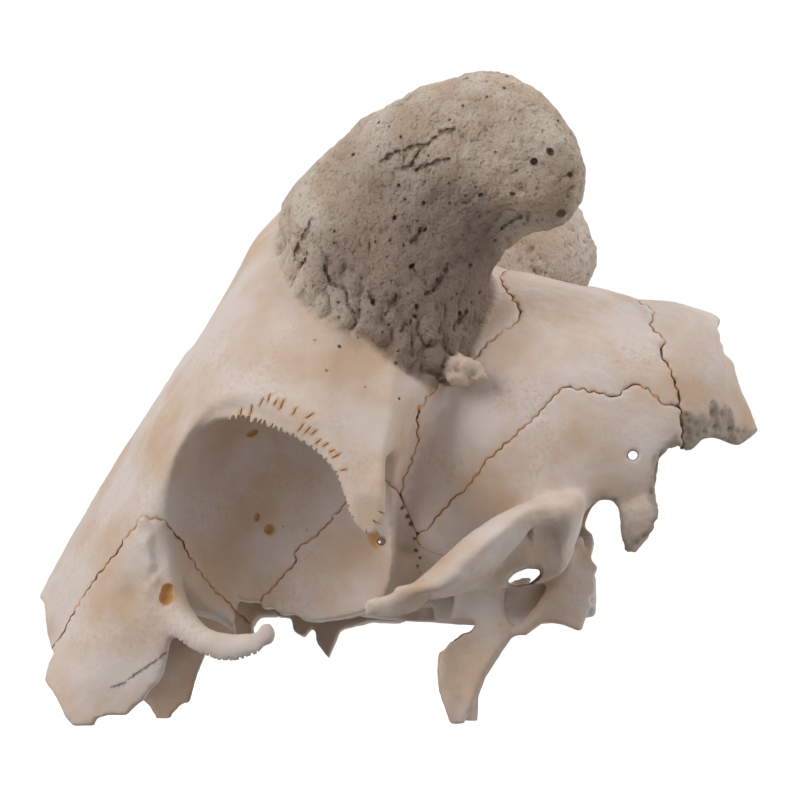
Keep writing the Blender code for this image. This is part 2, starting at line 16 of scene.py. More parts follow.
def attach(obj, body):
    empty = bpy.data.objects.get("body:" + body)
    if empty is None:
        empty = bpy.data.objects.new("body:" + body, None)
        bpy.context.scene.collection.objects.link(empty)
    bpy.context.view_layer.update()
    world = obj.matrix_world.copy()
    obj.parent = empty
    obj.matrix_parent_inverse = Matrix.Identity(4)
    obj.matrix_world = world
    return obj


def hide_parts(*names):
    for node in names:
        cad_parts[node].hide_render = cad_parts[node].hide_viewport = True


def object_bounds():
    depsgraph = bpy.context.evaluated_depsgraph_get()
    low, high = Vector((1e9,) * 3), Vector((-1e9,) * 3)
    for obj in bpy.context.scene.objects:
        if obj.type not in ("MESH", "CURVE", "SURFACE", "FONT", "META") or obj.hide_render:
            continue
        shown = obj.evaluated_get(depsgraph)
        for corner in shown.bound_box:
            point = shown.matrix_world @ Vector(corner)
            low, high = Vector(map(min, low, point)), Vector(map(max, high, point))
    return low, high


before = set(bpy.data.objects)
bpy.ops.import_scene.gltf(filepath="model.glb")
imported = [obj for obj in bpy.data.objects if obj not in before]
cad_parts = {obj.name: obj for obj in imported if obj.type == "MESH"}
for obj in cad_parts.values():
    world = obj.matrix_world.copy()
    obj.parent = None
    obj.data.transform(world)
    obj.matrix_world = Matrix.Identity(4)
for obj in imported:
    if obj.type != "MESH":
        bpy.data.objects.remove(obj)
cad_box = [list(corner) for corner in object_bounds()]

# Forehead: the two frontal bones with the roofs of the orbits and the pointed process behind
# each eye. It is one curved shield of bone, thickest at the mid-line and thin at its rims.
MM = 0.001
COARSE_VOXEL = 0.8
SKULL_TURN = Matrix.Rotation(math.radians(-5.5), 4, "X")
SKULL_ORIGIN = Vector((-0.00021, 0.00061, 0.0606))
FOREHEAD_ROWS = [
    ((-46, -2), (-42.5, 36.5, -27), (28, -40), (16, -44)),
    ((-42, 5), (-40.5, 38.5, -23), (30, -38), (16, -44)),
    ((-38, 11), (-38, 40.5, -18.5), (30, -38), (16, -44)),
    ((-33, 19.5), (-32, 43.5, -11), (30, -38), (16, -44)),
    ((-27, 31.5), (-24.5, 46.5, -10), (30, -38), (16, -49)),
    ((-20, 38.5), (-16, 49, -13.5), (30, -38), (16, -50)),
    ((-14, 40), (-9.5, 50.5, -18), (30, -38), (16, -50)),
    ((-9, 39.5), (-6, 51.5, -25.5), (30, -38), (16, -48)),
    ((-5, 38.5), (-3.5, 52, -30), (30, -38), (15, -45)),
    ((-1, 37), (-1, 52, -31.5), (30, -36), (15, -42)),
    ((2, 35.5), (1, 51, -28), (30, -32), (15, -40)),
    ((5, 33.5), (1, 49.5, -21.5), (30, -26), (15, -36)),
    ((8, 31.5), (2, 46, -15), (29, -20), (14, -30)),
    ((11, 29.5), (4.5, 42, -9), (28, -15), (13, -22)),
    ((15, 27), (8.5, 37, -4), (28, -8), (13, -10)),
    ((19, 24.5), (12, 34, 0), (27, -4), (13, -4)),
]


def add_object(name, bm):
    mesh = bpy.data.meshes.new(name)
    bm.to_mesh(mesh)
    bm.free()
    obj = bpy.data.objects.new(name, mesh)
    bpy.context.scene.collection.objects.link(obj)
    return obj


def through(points, steps, closed=False):
    """Catmull-Rom curve through the points, along the first axis, with steps spans for each gap."""
    p = np.asarray(points, float)
    if closed:
        p = np.concatenate([p[-1:], p, p[:2]])
    else:
        p = np.concatenate([2 * p[:1] - p[1:2], p, 2 * p[-1:] - p[-2:-1]])
    out = []
    for i in range(1, len(p) - 2):
        for t in np.arange(steps) / steps:
            a = 2 * p[i]
            b = p[i + 1] - p[i - 1]
            c = 2 * p[i - 1] - 5 * p[i] + 4 * p[i + 1] - p[i + 2]
            d = 3 * p[i] - p[i - 1] - 3 * p[i + 1] + p[i + 2]
            out.append(0.5 * (a + b * t + c * t * t + d * t * t * t))
    if not closed:
        out.append(p[-2])
    return np.array(out)


def flip(points):
    """The same points on the animal's right side."""
    return (np.asarray(points, float) * (1, -1, 1)).tolist()


def laid_grid(places):
    """A flat grid bent so that its points lie at the given places, in millimetres."""
    high, wide = places.shape[:2]
    bm = bmesh.new()
    bmesh.ops.create_grid(bm, x_segments=wide - 1, y_segments=high - 1, size=1.0)
    order = sorted(bm.verts, key=lambda v: (round(v.co.y, 4), round(v.co.x, 4)))
    for vert, place in zip(order, places.reshape(-1, 3)):
        vert.co = Vector(place) * MM
    return bm


def ring_solid(name, rings, along=4, around=2):
    """Closed solid through rings: a grid rolled into a tube, its seam merged and its ends filled."""
    places = through(rings, along)
    places = np.stack([through(ring, around, closed=True) for ring in places])
    places = np.concatenate([places, places[:, :1]], axis=1)
    bm = laid_grid(places)
    bmesh.ops.remove_doubles(bm, verts=bm.verts, dist=1e-7)
    bmesh.ops.holes_fill(bm, edges=[edge for edge in bm.edges if edge.is_boundary])
    bmesh.ops.triangulate(bm, faces=bm.faces)
    bmesh.ops.recalc_face_normals(bm, faces=bm.faces)
    return add_object(name, bm)


def both_sides(make, name, points, **settings):
    return [
        make("left_" + name, points, **settings),
        make("right_" + name, [flip(row) for row in points], **settings),
    ]


def apply_modifiers(obj):
    bpy.context.view_layer.update()
    old = obj.data
    obj.data = bpy.data.meshes.new_from_object(obj.evaluated_get(bpy.context.evaluated_depsgraph_get()))
    obj.modifiers.clear()
    bpy.data.meshes.remove(old)


def discard(objects):
    for obj in objects:
        bpy.data.objects.remove(obj, do_unlink=True)


def grow_together(name, pieces, voxel, rounds):
    """One closed skin round overlapping solids, softened where they meet."""
    bpy.context.view_layer.update()
    bm = bmesh.new()
    for piece in pieces:
        mesh = bpy.data.meshes.new_from_object(piece.evaluated_get(bpy.context.evaluated_depsgraph_get()))
        bm.from_mesh(mesh)
        bpy.data.meshes.remove(mesh)
    obj = add_object(name, bm)
    skin = obj.modifiers.new("skin", "REMESH")
    skin.mode = "VOXEL"
    skin.voxel_size = voxel * MM
    soften = obj.modifiers.new("soften", "SMOOTH")
    soften.factor = 0.5
    soften.iterations = rounds
    apply_modifiers(obj)
    discard(pieces)
    obj.name = name
    return obj


def cut_away(obj, tools):
    for tool in tools:
        step = obj.modifiers.new(tool.name, "BOOLEAN")
        step.operation = "DIFFERENCE"
        step.solver = "MANIFOLD"
        step.object = tool
    apply_modifiers(obj)
    discard(tools)


def forehead_ring(middle, rim, under, bottom):
    """Ring across the skull: a super-ellipse from rim to rim, closed below."""
    roundness = 1.6
    xm, zm = middle
    xr, w, zr = rim
    side = []
    for angle in np.radians([90, 76, 62, 48, 34, 20, 9]):
        out = math.sin(angle) ** (2 / roundness)
        up = math.cos(angle) ** (2 / roundness)
        side.append((xm + (xr - xm) * out ** 1.5, -w * out, zr + (zm - zr) * up))
    low = [(xr, -under[0], under[1]), (xr, -bottom[0], bottom[1])]
    left = low[::-1] + side
    return left + [(xm, 0, zm)] + flip(left)[::-1]


forehead = ring_solid("forehead", [forehead_ring(*row) for row in FOREHEAD_ROWS], along=5, around=2)

# Orbits: the two round hollows for the eyes, open to the side and below. Each outline is in x
# and z, at a depth from the mid-line.
ORBIT_OUTLINES = {
    60: [(-38, -64), (-38.5, -45), (-40, -36), (-40, -28), (-38.5, -20), (-35.5, -14.5), (-31, -10.5), (-25, -9.5),
         (-18, -12.5), (-12, -16), (-8, -20.5), (-6, -26), (-3.5, -31.5), (9, -36), (9, -64)],
    49: [(-38, -64), (-38.5, -45), (-40, -36), (-40, -28), (-38.5, -20), (-35.5, -14.5), (-31, -10.5), (-25, -9.5),
         (-18, -12.5), (-12, -16), (-8, -20.5), (-6, -26), (-3.5, -31.5), (9, -36), (9, -64)],
    47: [(-38, -64), (-38.5, -45), (-40, -36), (-40, -28), (-38.5, -20), (-35.5, -14), (-31, -9.5), (-25, -8.5),
         (-18, -11.5), (-12, -15), (-7, -17), (0, -18), (6, -20), (10, -30), (10, -64)],
    40: [(-38, -64), (-38.5, -45), (-40, -36), (-40, -28), (-38, -19), (-34.5, -12.5), (-30, -8.5), (-24, -7),
         (-17, -9.5), (-11, -12.5), (-6, -14.5), (1, -16.5), (7, -20), (10, -30), (10, -64)],
    33: [(-36, -64), (-36.5, -45), (-37.5, -36), (-37.5, -28), (-35.5, -19), (-32, -12), (-27.5, -8), (-22, -7.5),
         (-16, -10), (-11, -13.5), (-7, -16.5), (-2, -19), (3, -24), (5, -32), (5, -64)],
    26: [(-32.5, -64), (-33, -45), (-33.5, -36), (-33.5, -28), (-31.5, -20), (-28.5, -14), (-24.5, -11), (-20, -11),
         (-15.5, -13.5), (-11.5, -17), (-8.5, -20), (-5, -23), (-1.5, -27), (0, -33), (1, -64)],
    20: [(-28, -64), (-28, -46), (-28, -37), (-28, -30), (-26.5, -23.5), (-24, -19), (-21.5, -17), (-18.5, -17),
         (-15.5, -18.5), (-13, -21), (-11, -23.5), (-8.5, -26), (-6, -29), (-4, -34), (-3, -64)],
    16: [(-22, -64), (-21.5, -46), (-21.5, -38), (-21.5, -32), (-21, -28), (-20, -26), (-19, -25), (-18, -25),
         (-17, -25.5), (-16, -27), (-15, -28.5), (-14, -30.5), (-13, -33), (-12.5, -38), (-12, -64)],
}
orbit_rings = [[(x, -depth, z) for x, z in ring] for depth, ring in ORBIT_OUTLINES.items()]
cut_away(forehead, both_sides(ring_solid, "orbit_hollow", orbit_rings))

# Braincase: an egg-shaped shell about 66 mm wide, broken open behind and below. Each section
# at x has its top, its floor, its half width and its widest height.
CASE_SECTIONS = [
    (-5, 18, -35, 14, -14), (0, 24, -36, 21.5, -13), (4, 28, -37, 27, -12), (9, 28, -37.5, 31, -11),
    (17, 25.5, -37.5, 33, -11), (26, 23.2, -37, 33.3, -11), (36, 20.8, -35, 32.3, -11),
    (44, 18.6, -32, 30, -10), (51, 18.2, -30, 28, -9), (56.5, 16.8, -27, 24.5, -8), (60.4, 15, -25, 21, -8),
    (62, 10.8, -23, 18, -8), (64, 6, -20, 14.5, -8), (66.5, 0, -16, 9.5, -8), (68, -5, -12, 4, -8.5),
]
BROKEN_BELOW = [
    (33.5, -34), (34, -29), (35.5, -25), (37.5, -23.5), (39, -23), (40.7, -23.5), (42, -26), (41.7, -29.5),
    (43.5, -32), (44.5, -30.7), (47, -29), (49, -26), (47.5, -22), (48.5, -18.3), (48.5, -15.5), (50.5, -14),
    (52, -12), (53, -14), (54, -14.8), (56, -12.7), (56.7, -11), (61.5, -12.2), (63.5, -13.6), (66, -11.3), (70, -8.5),
    (80, -8.5), (80, -70), (33.5, -70),
]
BREAK_CLIMB = 0.136


def case_ring(x, top, floor, half, waist):
    ring = []
    for angle in np.radians(np.arange(0, 360, 18)):
        c, s = math.cos(angle), math.sin(angle)
        power = 0.92 if c > 0 else 0.8
        y = half * math.copysign(abs(s) ** power, s)
        reach = (top - waist) if c > 0 else (waist - floor)
        ring.append((x, -y, waist + reach * math.copysign(abs(c) ** power, c)))
    return ring


def prism(name, outline, low, high):
    """Straight solid across the skull between two values of y, its outline in x and z."""
    bm = bmesh.new()
    bmesh.ops.create_circle(bm, cap_ends=True, segments=len(outline), radius=1.0)
    for vert, (x, z) in zip(bm.verts, outline):
        vert.co = Vector((x, low, z)) * MM
    far = bmesh.ops.extrude_face_region(bm, geom=bm.faces[:])["geom"]
    moved = [v for v in far if isinstance(v, bmesh.types.BMVert)]
    bmesh.ops.translate(bm, verts=moved, vec=(0, (high - low) * MM, 0))
    bmesh.ops.triangulate(bm, faces=bm.faces)
    bmesh.ops.recalc_face_normals(bm, faces=bm.faces)
    return add_object(name, bm)


def slanted(tool, middle, rise, drift):
    """Shear a tool that runs across the skull, so that it climbs and drifts with y."""
    for vert in tool.data.vertices:
        across = vert.co.y - middle * MM
        vert.co.z += rise * across
        vert.co.x += drift * across
    return tool


braincase = ring_solid("braincase", [case_ring(*section) for section in CASE_SECTIONS], along=5, around=2)
cut_away(braincase, [slanted(prism("broken_below", BROKEN_BELOW, -60, 60), -31, BREAK_CLIMB, 0)])

# Cheeks: thin plates of the frontal and the lacrimal bone in front of each orbit, and the
# curved band of the orbit's lower rim, which ends in a broken knob.
CHEEK_ROWS = [
    [(-54, 0.5, -18.5), (-49, 0.5, -9.5), (-43, 0.5, 1), (-36, 0.5, 11.5)],
    [(-66, -9, -39.5), (-57, -10, -23), (-48, -10.5, -8.5), (-38.5, -11.5, 6.5)],
    [(-66, -14, -47), (-57, -17.5, -31), (-48, -20, -14.5), (-38, -23, -0.5)],
    [(-62, -18, -49), (-56, -24, -39.5), (-48.5, -29, -26), (-41, -32, -9)],
    [(-64, -24, -54.5), (-55, -28, -47), (-48, -32.5, -34), (-42, -36, -24.5)],
    [(-62, -28, -61), (-54, -30, -55), (-47, -33, -44), (-42, -35.5, -35)],
    [(-57.5, -30, -67), (-51.5, -30, -64.5), (-42, -31, -61.5), (-38, -34, -47)],
]
RIM_BAND = [
    [(-40, -35.5, -26), (-37.5, -32, -33), (-36.5, -32.5, -39.5), (-34.5, -34, -43.5), (-31, -37, -47),
     (-27, -39, -48), (-20.5, -41, -47.5)],
    [(-41.5, -36.5, -27), (-39.5, -35, -34), (-38.5, -35.5, -41), (-36.5, -37, -45.5), (-32, -39, -49),
     (-27, -41, -50.5), (-20.5, -42, -49.5)],
    [(-41.5, -35, -29.5), (-40, -34.5, -38), (-39, -34.5, -45.5), (-35.5, -35.5, -49.5), (-31.5, -37.5, -51.5),
     (-27, -39.5, -53), (-21, -41, -51.5)],
]


def plate(name, rows, thickness=2.6, steps=5):
    """Thin curved bone through a grid of points on its middle surface."""
    places = through(rows, steps)
    obj = add_object(name, laid_grid(np.stack([through(row, steps) for row in places])))
    wall = obj.modifiers.new("thickness", "SOLIDIFY")
    wall.thickness = thickness * MM
    wall.offset = 0.0
    return obj


cheeks = both_sides(plate, "cheek", CHEEK_ROWS)
rim_bands = both_sides(plate, "rim_band", RIM_BAND, thickness=2.4)

# Horn cores: stubby outgrowths of the frontal bones, porous like pumice, that curve back over
# the braincase. Each row is the front edge, the back edge, the distance out and the half depth.
HORN_ROWS = [
    ((-17, 15), (11.5, -4), 27, 15.5), ((-19.5, 24), (14, 2), 26.5, 16), ((-20.5, 32), (15, 7), 26, 16),
    ((-13, 41), (17, 14), 26, 15.5), ((-5, 47.5), (19.5, 21), 28.5, 15), ((4, 52), (23, 24.8), 31, 14.5),
    ((11.5, 54.3), (26.5, 25.8), 33.5, 14), ((18.5, 54.8), (30.5, 25.8), 36, 13), ((25, 52.4), (33.5, 27.3), 38, 11.5),
    ((30.5, 47.3), (35.5, 30.8), 39.5, 8.5), ((34.3, 41.3), (36.4, 35), 40.5, 4.5),
]
HORN_ALONG, HORN_AROUND = 4, 4


def horn_ring(front, back, out, half):
    a, b = np.array(front, float), np.array(back, float)
    middle, reach = (a + b) / 2, (a - b) / 2
    ring = []
    for angle in np.radians(np.arange(0, 360, 30)):
        c = math.copysign(abs(math.cos(angle)) ** 0.9, math.cos(angle))
        s = math.copysign(abs(math.sin(angle)) ** 0.9, math.sin(angle))
        ring.append((middle[0] + reach[0] * c, -out + half * s, middle[1] + reach[1] * c))
    return ring


horn_rings = [horn_ring(*row) for row in HORN_ROWS]
horns = both_sides(ring_solid, "horn_core", horn_rings, along=HORN_ALONG, around=HORN_AROUND)
horn_places = through(horn_rings, HORN_ALONG)
horn_places = np.stack([through(ring, HORN_AROUND, closed=True) for ring in horn_places])
rows_of_horn, spots_of_ring = horn_places.shape[:2]
horn_faces = [
    (i * spots_of_ring + j, i * spots_of_ring + (j + 1) % spots_of_ring,
     (i + 1) * spots_of_ring + (j + 1) % spots_of_ring, (i + 1) * spots_of_ring + j)
    for i in range(rows_of_horn - 1) for j in range(spots_of_ring)
]
horn_tree = BVHTree.FromPolygons([Vector(p) for p in horn_places.reshape(-1, 3)], horn_faces)

# Cheekbone processes of the temporal bones, and the sphenoid: its body on the mid-line, with a
# long pterygoid blade and a plate behind it on each side.
ZYGOMA = [
    [(-3, -46.5, -42.6), (-3, -48, -43.4), (-2.8, -47.3, -45.6), (-2.7, -46.2, -45.6), (-2.8, -45.8, -43.6)],
    [(3, -46, -41), (3.5, -49.3, -42), (3, -47, -44.8), (2.8, -45.5, -44.4), (2.8, -44.8, -42.4)],
    [(9.5, -45.5, -36), (10.5, -50, -39.8), (8.5, -44.5, -43.6), (8.5, -42.5, -42), (9, -43, -38.5)],
    [(15, -42.5, -30.5), (16, -49, -36), (14.5, -36, -41.5), (14, -31, -39), (14.5, -36, -34)],
    [(21, -38, -26), (21.5, -46.5, -31.3), (20, -27, -38.5), (20, -22, -35), (20.5, -27, -28)],
    [(27, -34, -23), (27, -42.5, -27), (26.5, -27, -37.5), (26, -21, -34), (26.5, -25, -26)],
    [(33, -31, -21.5), (33.2, -39.5, -26), (32.5, -31, -34.5), (32, -25, -34), (32.5, -25, -26)],
    [(36, -29, -21.5), (36, -34, -24), (35, -31, -27), (35, -27, -28), (35.5, -26, -24)],
]
BODY_SECTIONS = [(-8, -36, -41, 7.5), (2, -35.5, -42, 9), (14, -35, -42.5, 10), (26, -34, -42.5, 9.5), (37, -33, -41, 8.5)]
BLADE_ROWS = [
    [(11.5, -17, -35), (16.5, -17, -35), (21, -16, -35.5)],
    [(11, -14.5, -40), (15, -13, -40), (20.5, -13, -40.5)],
    [(9, -12.5, -46.5), (13.5, -11, -46.5), (21.5, -11.5, -46)],
    [(8, -12, -51.5), (12, -10.5, -51.5), (17.8, -11.5, -51.5)],
    [(8.7, -11.5, -56.5), (12, -10, -56.5), (15.5, -11.2, -56.5)],
    [(10.8, -10.5, -63), (12.2, -10, -63.5), (13.6, -10.5, -63)],
]
WING_ROWS = [
    [(33, -17, -27.5), (34.5, -15, -27.5), (36, -13, -28.5)],
    [(31.5, -16, -32), (34.5, -13, -32), (38, -10, -33)],
    [(28.5, -14, -37.5), (33, -11, -37.5), (37, -9, -38.5)],
    [(25, -12.5, -42), (30, -10, -42), (35, -9, -43)],
    [(20.5, -11.5, -45.5), (27, -9.8, -45.5), (34.5, -8.8, -46)],
]
GREATER_WING_ROWS = [
    [(-2, -23.5, -31.5), (1.2, -21.2, -31.5), (4, -20.4, -31.5)],
    [(-2, -22.5, -35), (1.5, -19.2, -35), (5, -18, -35)],
    [(-2, -21, -38.5), (2, -17.4, -39), (6, -16.4, -39)],
]
body_rings = [
    [(x, half * math.sin(a), (top + low) / 2 + (top - low) / 2 * math.cos(a)) for a in np.radians(np.arange(0, 360, 36))]
    for x, top, low, half in BODY_SECTIONS
]
base = [
    *both_sides(ring_solid, "zygoma", ZYGOMA, along=6, around=5),
    ring_solid("sphenoid_body", body_rings),
    *both_sides(plate, "pterygoid_blade", BLADE_ROWS),
    *both_sides(plate, "pterygoid_wing", WING_ROWS),
    *both_sides(plate, "greater_wing", GREATER_WING_ROWS, thickness=2.0),
]

# Cavity of the nose and the brain: it leaves walls of about 3 mm and runs out in front, below
# and behind, where the face and the base of the skull have broken away.
CAVITY_SECTIONS = [
    (-58, -38, -90, 19, -60), (-50, -22, -90, 22.5, -50), (-44, -9, -90, 24, -45), (-38, 0, -90, 21, -42),
    (-31, 8, -90, 15, -30), (-24, 14, -90, 12.6, -20), (-14, 18, -90, 12.3, -15), (-6, 19, -90, 12.5, -15),
    (-1, 20, -60, 17, -13), (4, 21, -34.5, 23.5, -12), (9, 21.5, -34.5, 27.8, -11), (17, 21, -34.5, 30, -11),
    (26, 19, -34, 30.3, -11), (36, 16.3, -33, 29.3, -11), (45, 13.3, -33, 27, -10), (52, 11.5, -34, 23.5, -9),
    (57, 6, -36, 18, -9), (61, -3, -40, 12, -12), (66, -12, -45, 8, -20),
]
cavity = ring_solid("cavity", [case_ring(*section) for section in CAVITY_SECTIONS], along=5, around=2)
cavity_tree = BVHTree.FromObject(cavity, bpy.context.evaluated_depsgraph_get())
skull = grow_together("skull", [forehead, braincase, *cheeks, *rim_bands, *horns], COARSE_VOXEL, 5)
cut_away(skull, [cavity])
skull = grow_together("skull", [skull, *base], COARSE_VOXEL, 6)

# Openings for vessels and nerves, and the broken edges of the orbit walls, cheeks and far side.
OVAL_HOLE = [(21, -36.8), (22.6, -35.2), (24.9, -34.2), (27.4, -34.3), (27.8, -35.7), (26, -37.2), (23.7, -37.6), (21.6, -37.5)]
LEFT_WALL_EDGE = [
    (-28.8, -39.4), (-26.5, -40), (-25, -39.6), (-23.7, -41.2), (-22, -40.8), (-20.5, -42.2), (-18, -42), (-16.5, -43.2),
    (-13.5, -43.4), (-9.5, -42.8), (-4, -41.6), (1.5, -40), (7, -39.5), (7, -60), (-28.8, -60),
]
RIGHT_WALL_EDGE = [
    (-28.8, -39.4), (-24, -39.6), (-21.3, -40), (-21, -42.5), (-19, -43.8), (-17, -41.4), (-16.5, -44.8), (-14.3, -47.6),
    (-12, -42.2), (-6.3, -40.5), (-2, -40.5), (6, -40.5), (6, -60), (-28.8, -60),
]
RIGHT_CHEEK_EDGE = [
    (-40, -42), (-40.2, -44.8), (-41.6, -49), (-42.9, -54.7), (-44.6, -55.1), (-46.3, -57), (-47.3, -62), (-30, -62), (-30, -42),
]
RIGHT_CHEEK_FRONT = [
    (-80, -66), (-80, -52), (-56, -53.4), (-52.4, -54), (-50.6, -55.4), (-49.9, -56.8), (-49.4, -57.2), (-49, -60), (-48.4, -66),
]
LEFT_CHEEK_EDGE = [
    (-52.5, -62.4), (-50.3, -62), (-46.8, -61.9), (-45.2, -60.2), (-43.6, -59), (-42.4, -57.2), (-40.9, -56), (-39.2, -53.2),
    (-38.2, -51.2), (-35, -53.5), (-30, -58), (-30, -68), (-52.5, -68),
]
SNOUT_EDGE = [
    (-75, -66), (-59, -66), (-57.2, -63.2), (-59.2, -61), (-61, -57.6), (-63.2, -54.6), (-62.6, -51.5), (-61.6, -49.6), (-62.5, -48.6),
    (-63.2, -46.4), (-63.9, -43.4), (-64.3, -40), (-75, -36),
]
RIGHT_PLATE_EDGE = [
    (15.5, -70), (15.5, -57.5), (16.7, -53.9), (19.6, -49.3), (24, -43.2), (27.9, -41.4), (31.5, -41.6), (33.7, -42.4),
    (35, -41.4), (35.9, -39.8), (37, -34), (36.5, -31.7), (35, -28.9), (33.5, -27.1), (45, -27), (45, -70),
]
BLADE_FRONT = [
    (4, -42.8), (15.6, -43), (14.4, -45.2), (12.6, -45.6), (11.4, -46.8), (10.6, -46.6), (9.2, -48.4), (8.3, -48.6), (7.5, -50),
    (8, -51), (7.3, -52.2), (7.9, -54), (7.6, -55), (8.6, -57.4), (9, -59.8), (10.2, -61.4), (11.3, -64), (2, -64),
]
BLADE_REAR = [
    (24, -46), (19.7, -50), (16.9, -54.6), (15.6, -58.6), (14.6, -59.4), (13.7, -59.5), (13.1, -61.4), (12.5, -64), (24, -64),
]
WING_REAR = [
    (32.6, -25.8), (34, -27), (35, -28), (35.2, -29.6), (36.6, -30.4), (36.4, -31.8), (37.6, -32.8), (36.9, -34.6), (37, -37.2),
    (36, -38.6), (36.6, -40), (35.6, -41.6), (35.4, -43.2), (34.2, -44.6), (33.4, -44.3), (31, -43.3), (27.6, -43), (25.6, -44.4), (23.8, -46.2),
    (23.6, -52), (45, -52), (45, -25),
]
OCCIPUT_REAR = [
    (62, 17), (60, 14.2), (59.7, 12.6), (60.3, 11.6), (60.2, 9.9), (60.9, 9.4), (60.7, 8.1), (62, 7.2), (62.9, 6), (63.1, 4.2),
    (64.2, 1.2), (65.4, -1.6), (66.3, -4), (67.3, -6), (76, -6), (76, 16),
]


def round_outline(x, z, across, tall):
    return [(x + across * math.cos(a), z + tall * math.sin(a)) for a in np.radians(np.arange(0, 360, 30))]


def ball(name, centre, radii, segments=20):
    bm = bmesh.new()
    bmesh.ops.create_uvsphere(bm, u_segments=segments, v_segments=segments // 2, radius=1.0)
    bmesh.ops.scale(bm, vec=Vector(radii) * MM, verts=bm.verts)
    bmesh.ops.translate(bm, vec=Vector(centre) * MM, verts=bm.verts)
    return add_object(name, bm)


def slab(name, low, high):
    bm = bmesh.new()
    bmesh.ops.create_cube(bm, size=1.0)
    low, high = Vector(low) * MM, Vector(high) * MM
    bmesh.ops.scale(bm, vec=high - low, verts=bm.verts)
    bmesh.ops.translate(bm, vec=(low + high) / 2, verts=bm.verts)
    return add_object(name, bm)


floor_cut = slab("floor_cut", (-150, -150, -120.6), (150, 150, -60.6))
floor_cut.data.transform(SKULL_TURN.inverted())
cut_away(skull, [
    slanted(prism("oval_hole", OVAL_HOLE, -45, 45), -22, 0.107, -0.041),
    slanted(prism("vessel_hole", round_outline(44.3, -14.9, 1.1, 0.95), -45, 45), -31, 0.136, -0.015),
    slanted(prism("optic_canal", round_outline(-2.1, -28.5, 0.95, 0.9), -30, 30), -15, 0.116, -0.074),
    prism("left_wall_edge", LEFT_WALL_EDGE, -34, -2),
    prism("right_wall_edge", RIGHT_WALL_EDGE, 2, 34),
    prism("right_band_break", [(-33, -40), (-10, -40), (-10, -60), (-35, -60)], 31.5, 60),
    prism("right_process_break", [(-10, -36), (17, -25), (15.5, -33), (18.5, -38), (17, -50), (-10, -50)], 32, 60),
    prism("right_cheek_break", RIGHT_CHEEK_EDGE, 22, 45),
    prism("right_cheek_front", RIGHT_CHEEK_FRONT, 22, 45),
    prism("left_cheek_break", LEFT_CHEEK_EDGE, -45, -22),
    slanted(prism("snout_break", SNOUT_EDGE, -45, 20), -20, 0.099, -0.1),
    slanted(prism("right_plate_break", RIGHT_PLATE_EDGE, 7, 30), -12, 0.105, -0.041),
    prism("blade_front_break", BLADE_FRONT, -22, -9.9),
    slanted(prism("far_blade_front", BLADE_FRONT, 9.5, 24), -12, 0.105, -0.06),
    prism("blade_rear_break", BLADE_REAR, -22, -5),
    prism("wing_break", WING_REAR, -24, -5),
    slanted(prism("occiput_break", OCCIPUT_REAR, -40, 40), 0, 0.11, 0),
    floor_cut,
])

# Sutures: the seams where the bones of a young skull meet. They run in small zigzags and have
# opened as the bone dried, so each bone is a piece of its own with a hair of space round it.
SUTURE_GAP = 0.1
BASE_SEAM = 22.0
CORONAL = [
    (70, 24.4), (21.2, 24.4), (20.9, 22.5), (19, 20), (21, 17.5), (24, 12.5), (23.5, 10), (19.5, 7.5), (15.5, 3),
    (13, 0.5), (8, -3.5), (6, -8), (5, -13), (3.5, -16.5), (2, -20.5), (2, -23.4),
]
SQUAMOSAL = [
    (4, -28.8), (7.5, -27), (12, -22.5), (15.5, -20), (17, -17), (22.5, -12), (28.5, -6.5), (30, -4), (32.5, -2.5),
    (41, -4), (43.5, -2.2), (45.8, -1.6), (46.1, -3.2), (46.9, -1.9), (47.8, -4.2), (48.7, -3.1), (49.6, -5.1), (51.4, -5), (54, -5.8),
]
SPHENOTEMPORAL = [(1.5, -20.5), (4, -25.5), (5, -28), (5.2, -31.5), (7.5, -36.5), (9.5, -44)]
LAMBDOID = [(44, 24), (45, 16), (48, 13.5), (47, 10.5), (50, 7), (49.5, 4.5), (52, -0.5), (52.5, -3.5), (53, -8), (53.5, -18)]
FRONTOSPHENOID = [
    (3, -24.5), (2, -22), (0.5, -19.5), (-1, -18.5), (-5.5, -20), (-9, -23), (-12.5, -26.5), (-17.5, -30), (-18.5, -33),
    (-24, -39.5), (-25, -50),
]
FRONTOLACRIMAL = [
    (-80, -54), (-61.5, -49.3), (-60, -46.5), (-55, -39), (-48.5, -32), (-44, -27), (-39.5, -27), (-37, -31.5), (-33, -38),
    (-29.3, -40.6), (-28.7, -42),
]
LACRIMAL_FOOT = [(-29.3, -40.6), (-28.2, -50)]


def seam(name, line, low, high, gap=SUTURE_GAP, pitch=0.9, depth=0.3, seed=1):
    """Thin zigzag solid along a suture, across the skull between two values of y.

    Both walls swing by the same amount, along the normal of the plain line, so they never cross.
    """
    rng = np.random.default_rng(seed)
    corners = np.array(line, float)
    points, swings = [corners[0]], [0.0]
    for a, b in zip(corners, corners[1:]):
        teeth = max(1, int(np.linalg.norm(b - a) / pitch))
        for k in range(1, teeth):
            points.append(a + (b - a) * (k + 0.25 * rng.uniform(-1, 1)) / teeth)
            calm = min(1.0, min(np.linalg.norm(points[-1] - end) for end in (corners[0], corners[-1])) / 3)
            swings.append(calm * depth * rng.uniform(0.4, 1.1) * (1 if len(points) % 2 else -1))
        points.append(b)
        swings.append(0.0)
    p = np.array(points)
    run = np.gradient(p, axis=0)
    run /= np.linalg.norm(run, axis=1)[:, None]
    side = np.stack([-run[:, 1], run[:, 0]], axis=1)
    swing = np.array(swings)[:, None]
    walls = [p + side * (swing + gap / 2), p + side * (swing - gap / 2)]
    return prism(name, np.concatenate([walls[0], walls[1][::-1]]).tolist(), low, high)


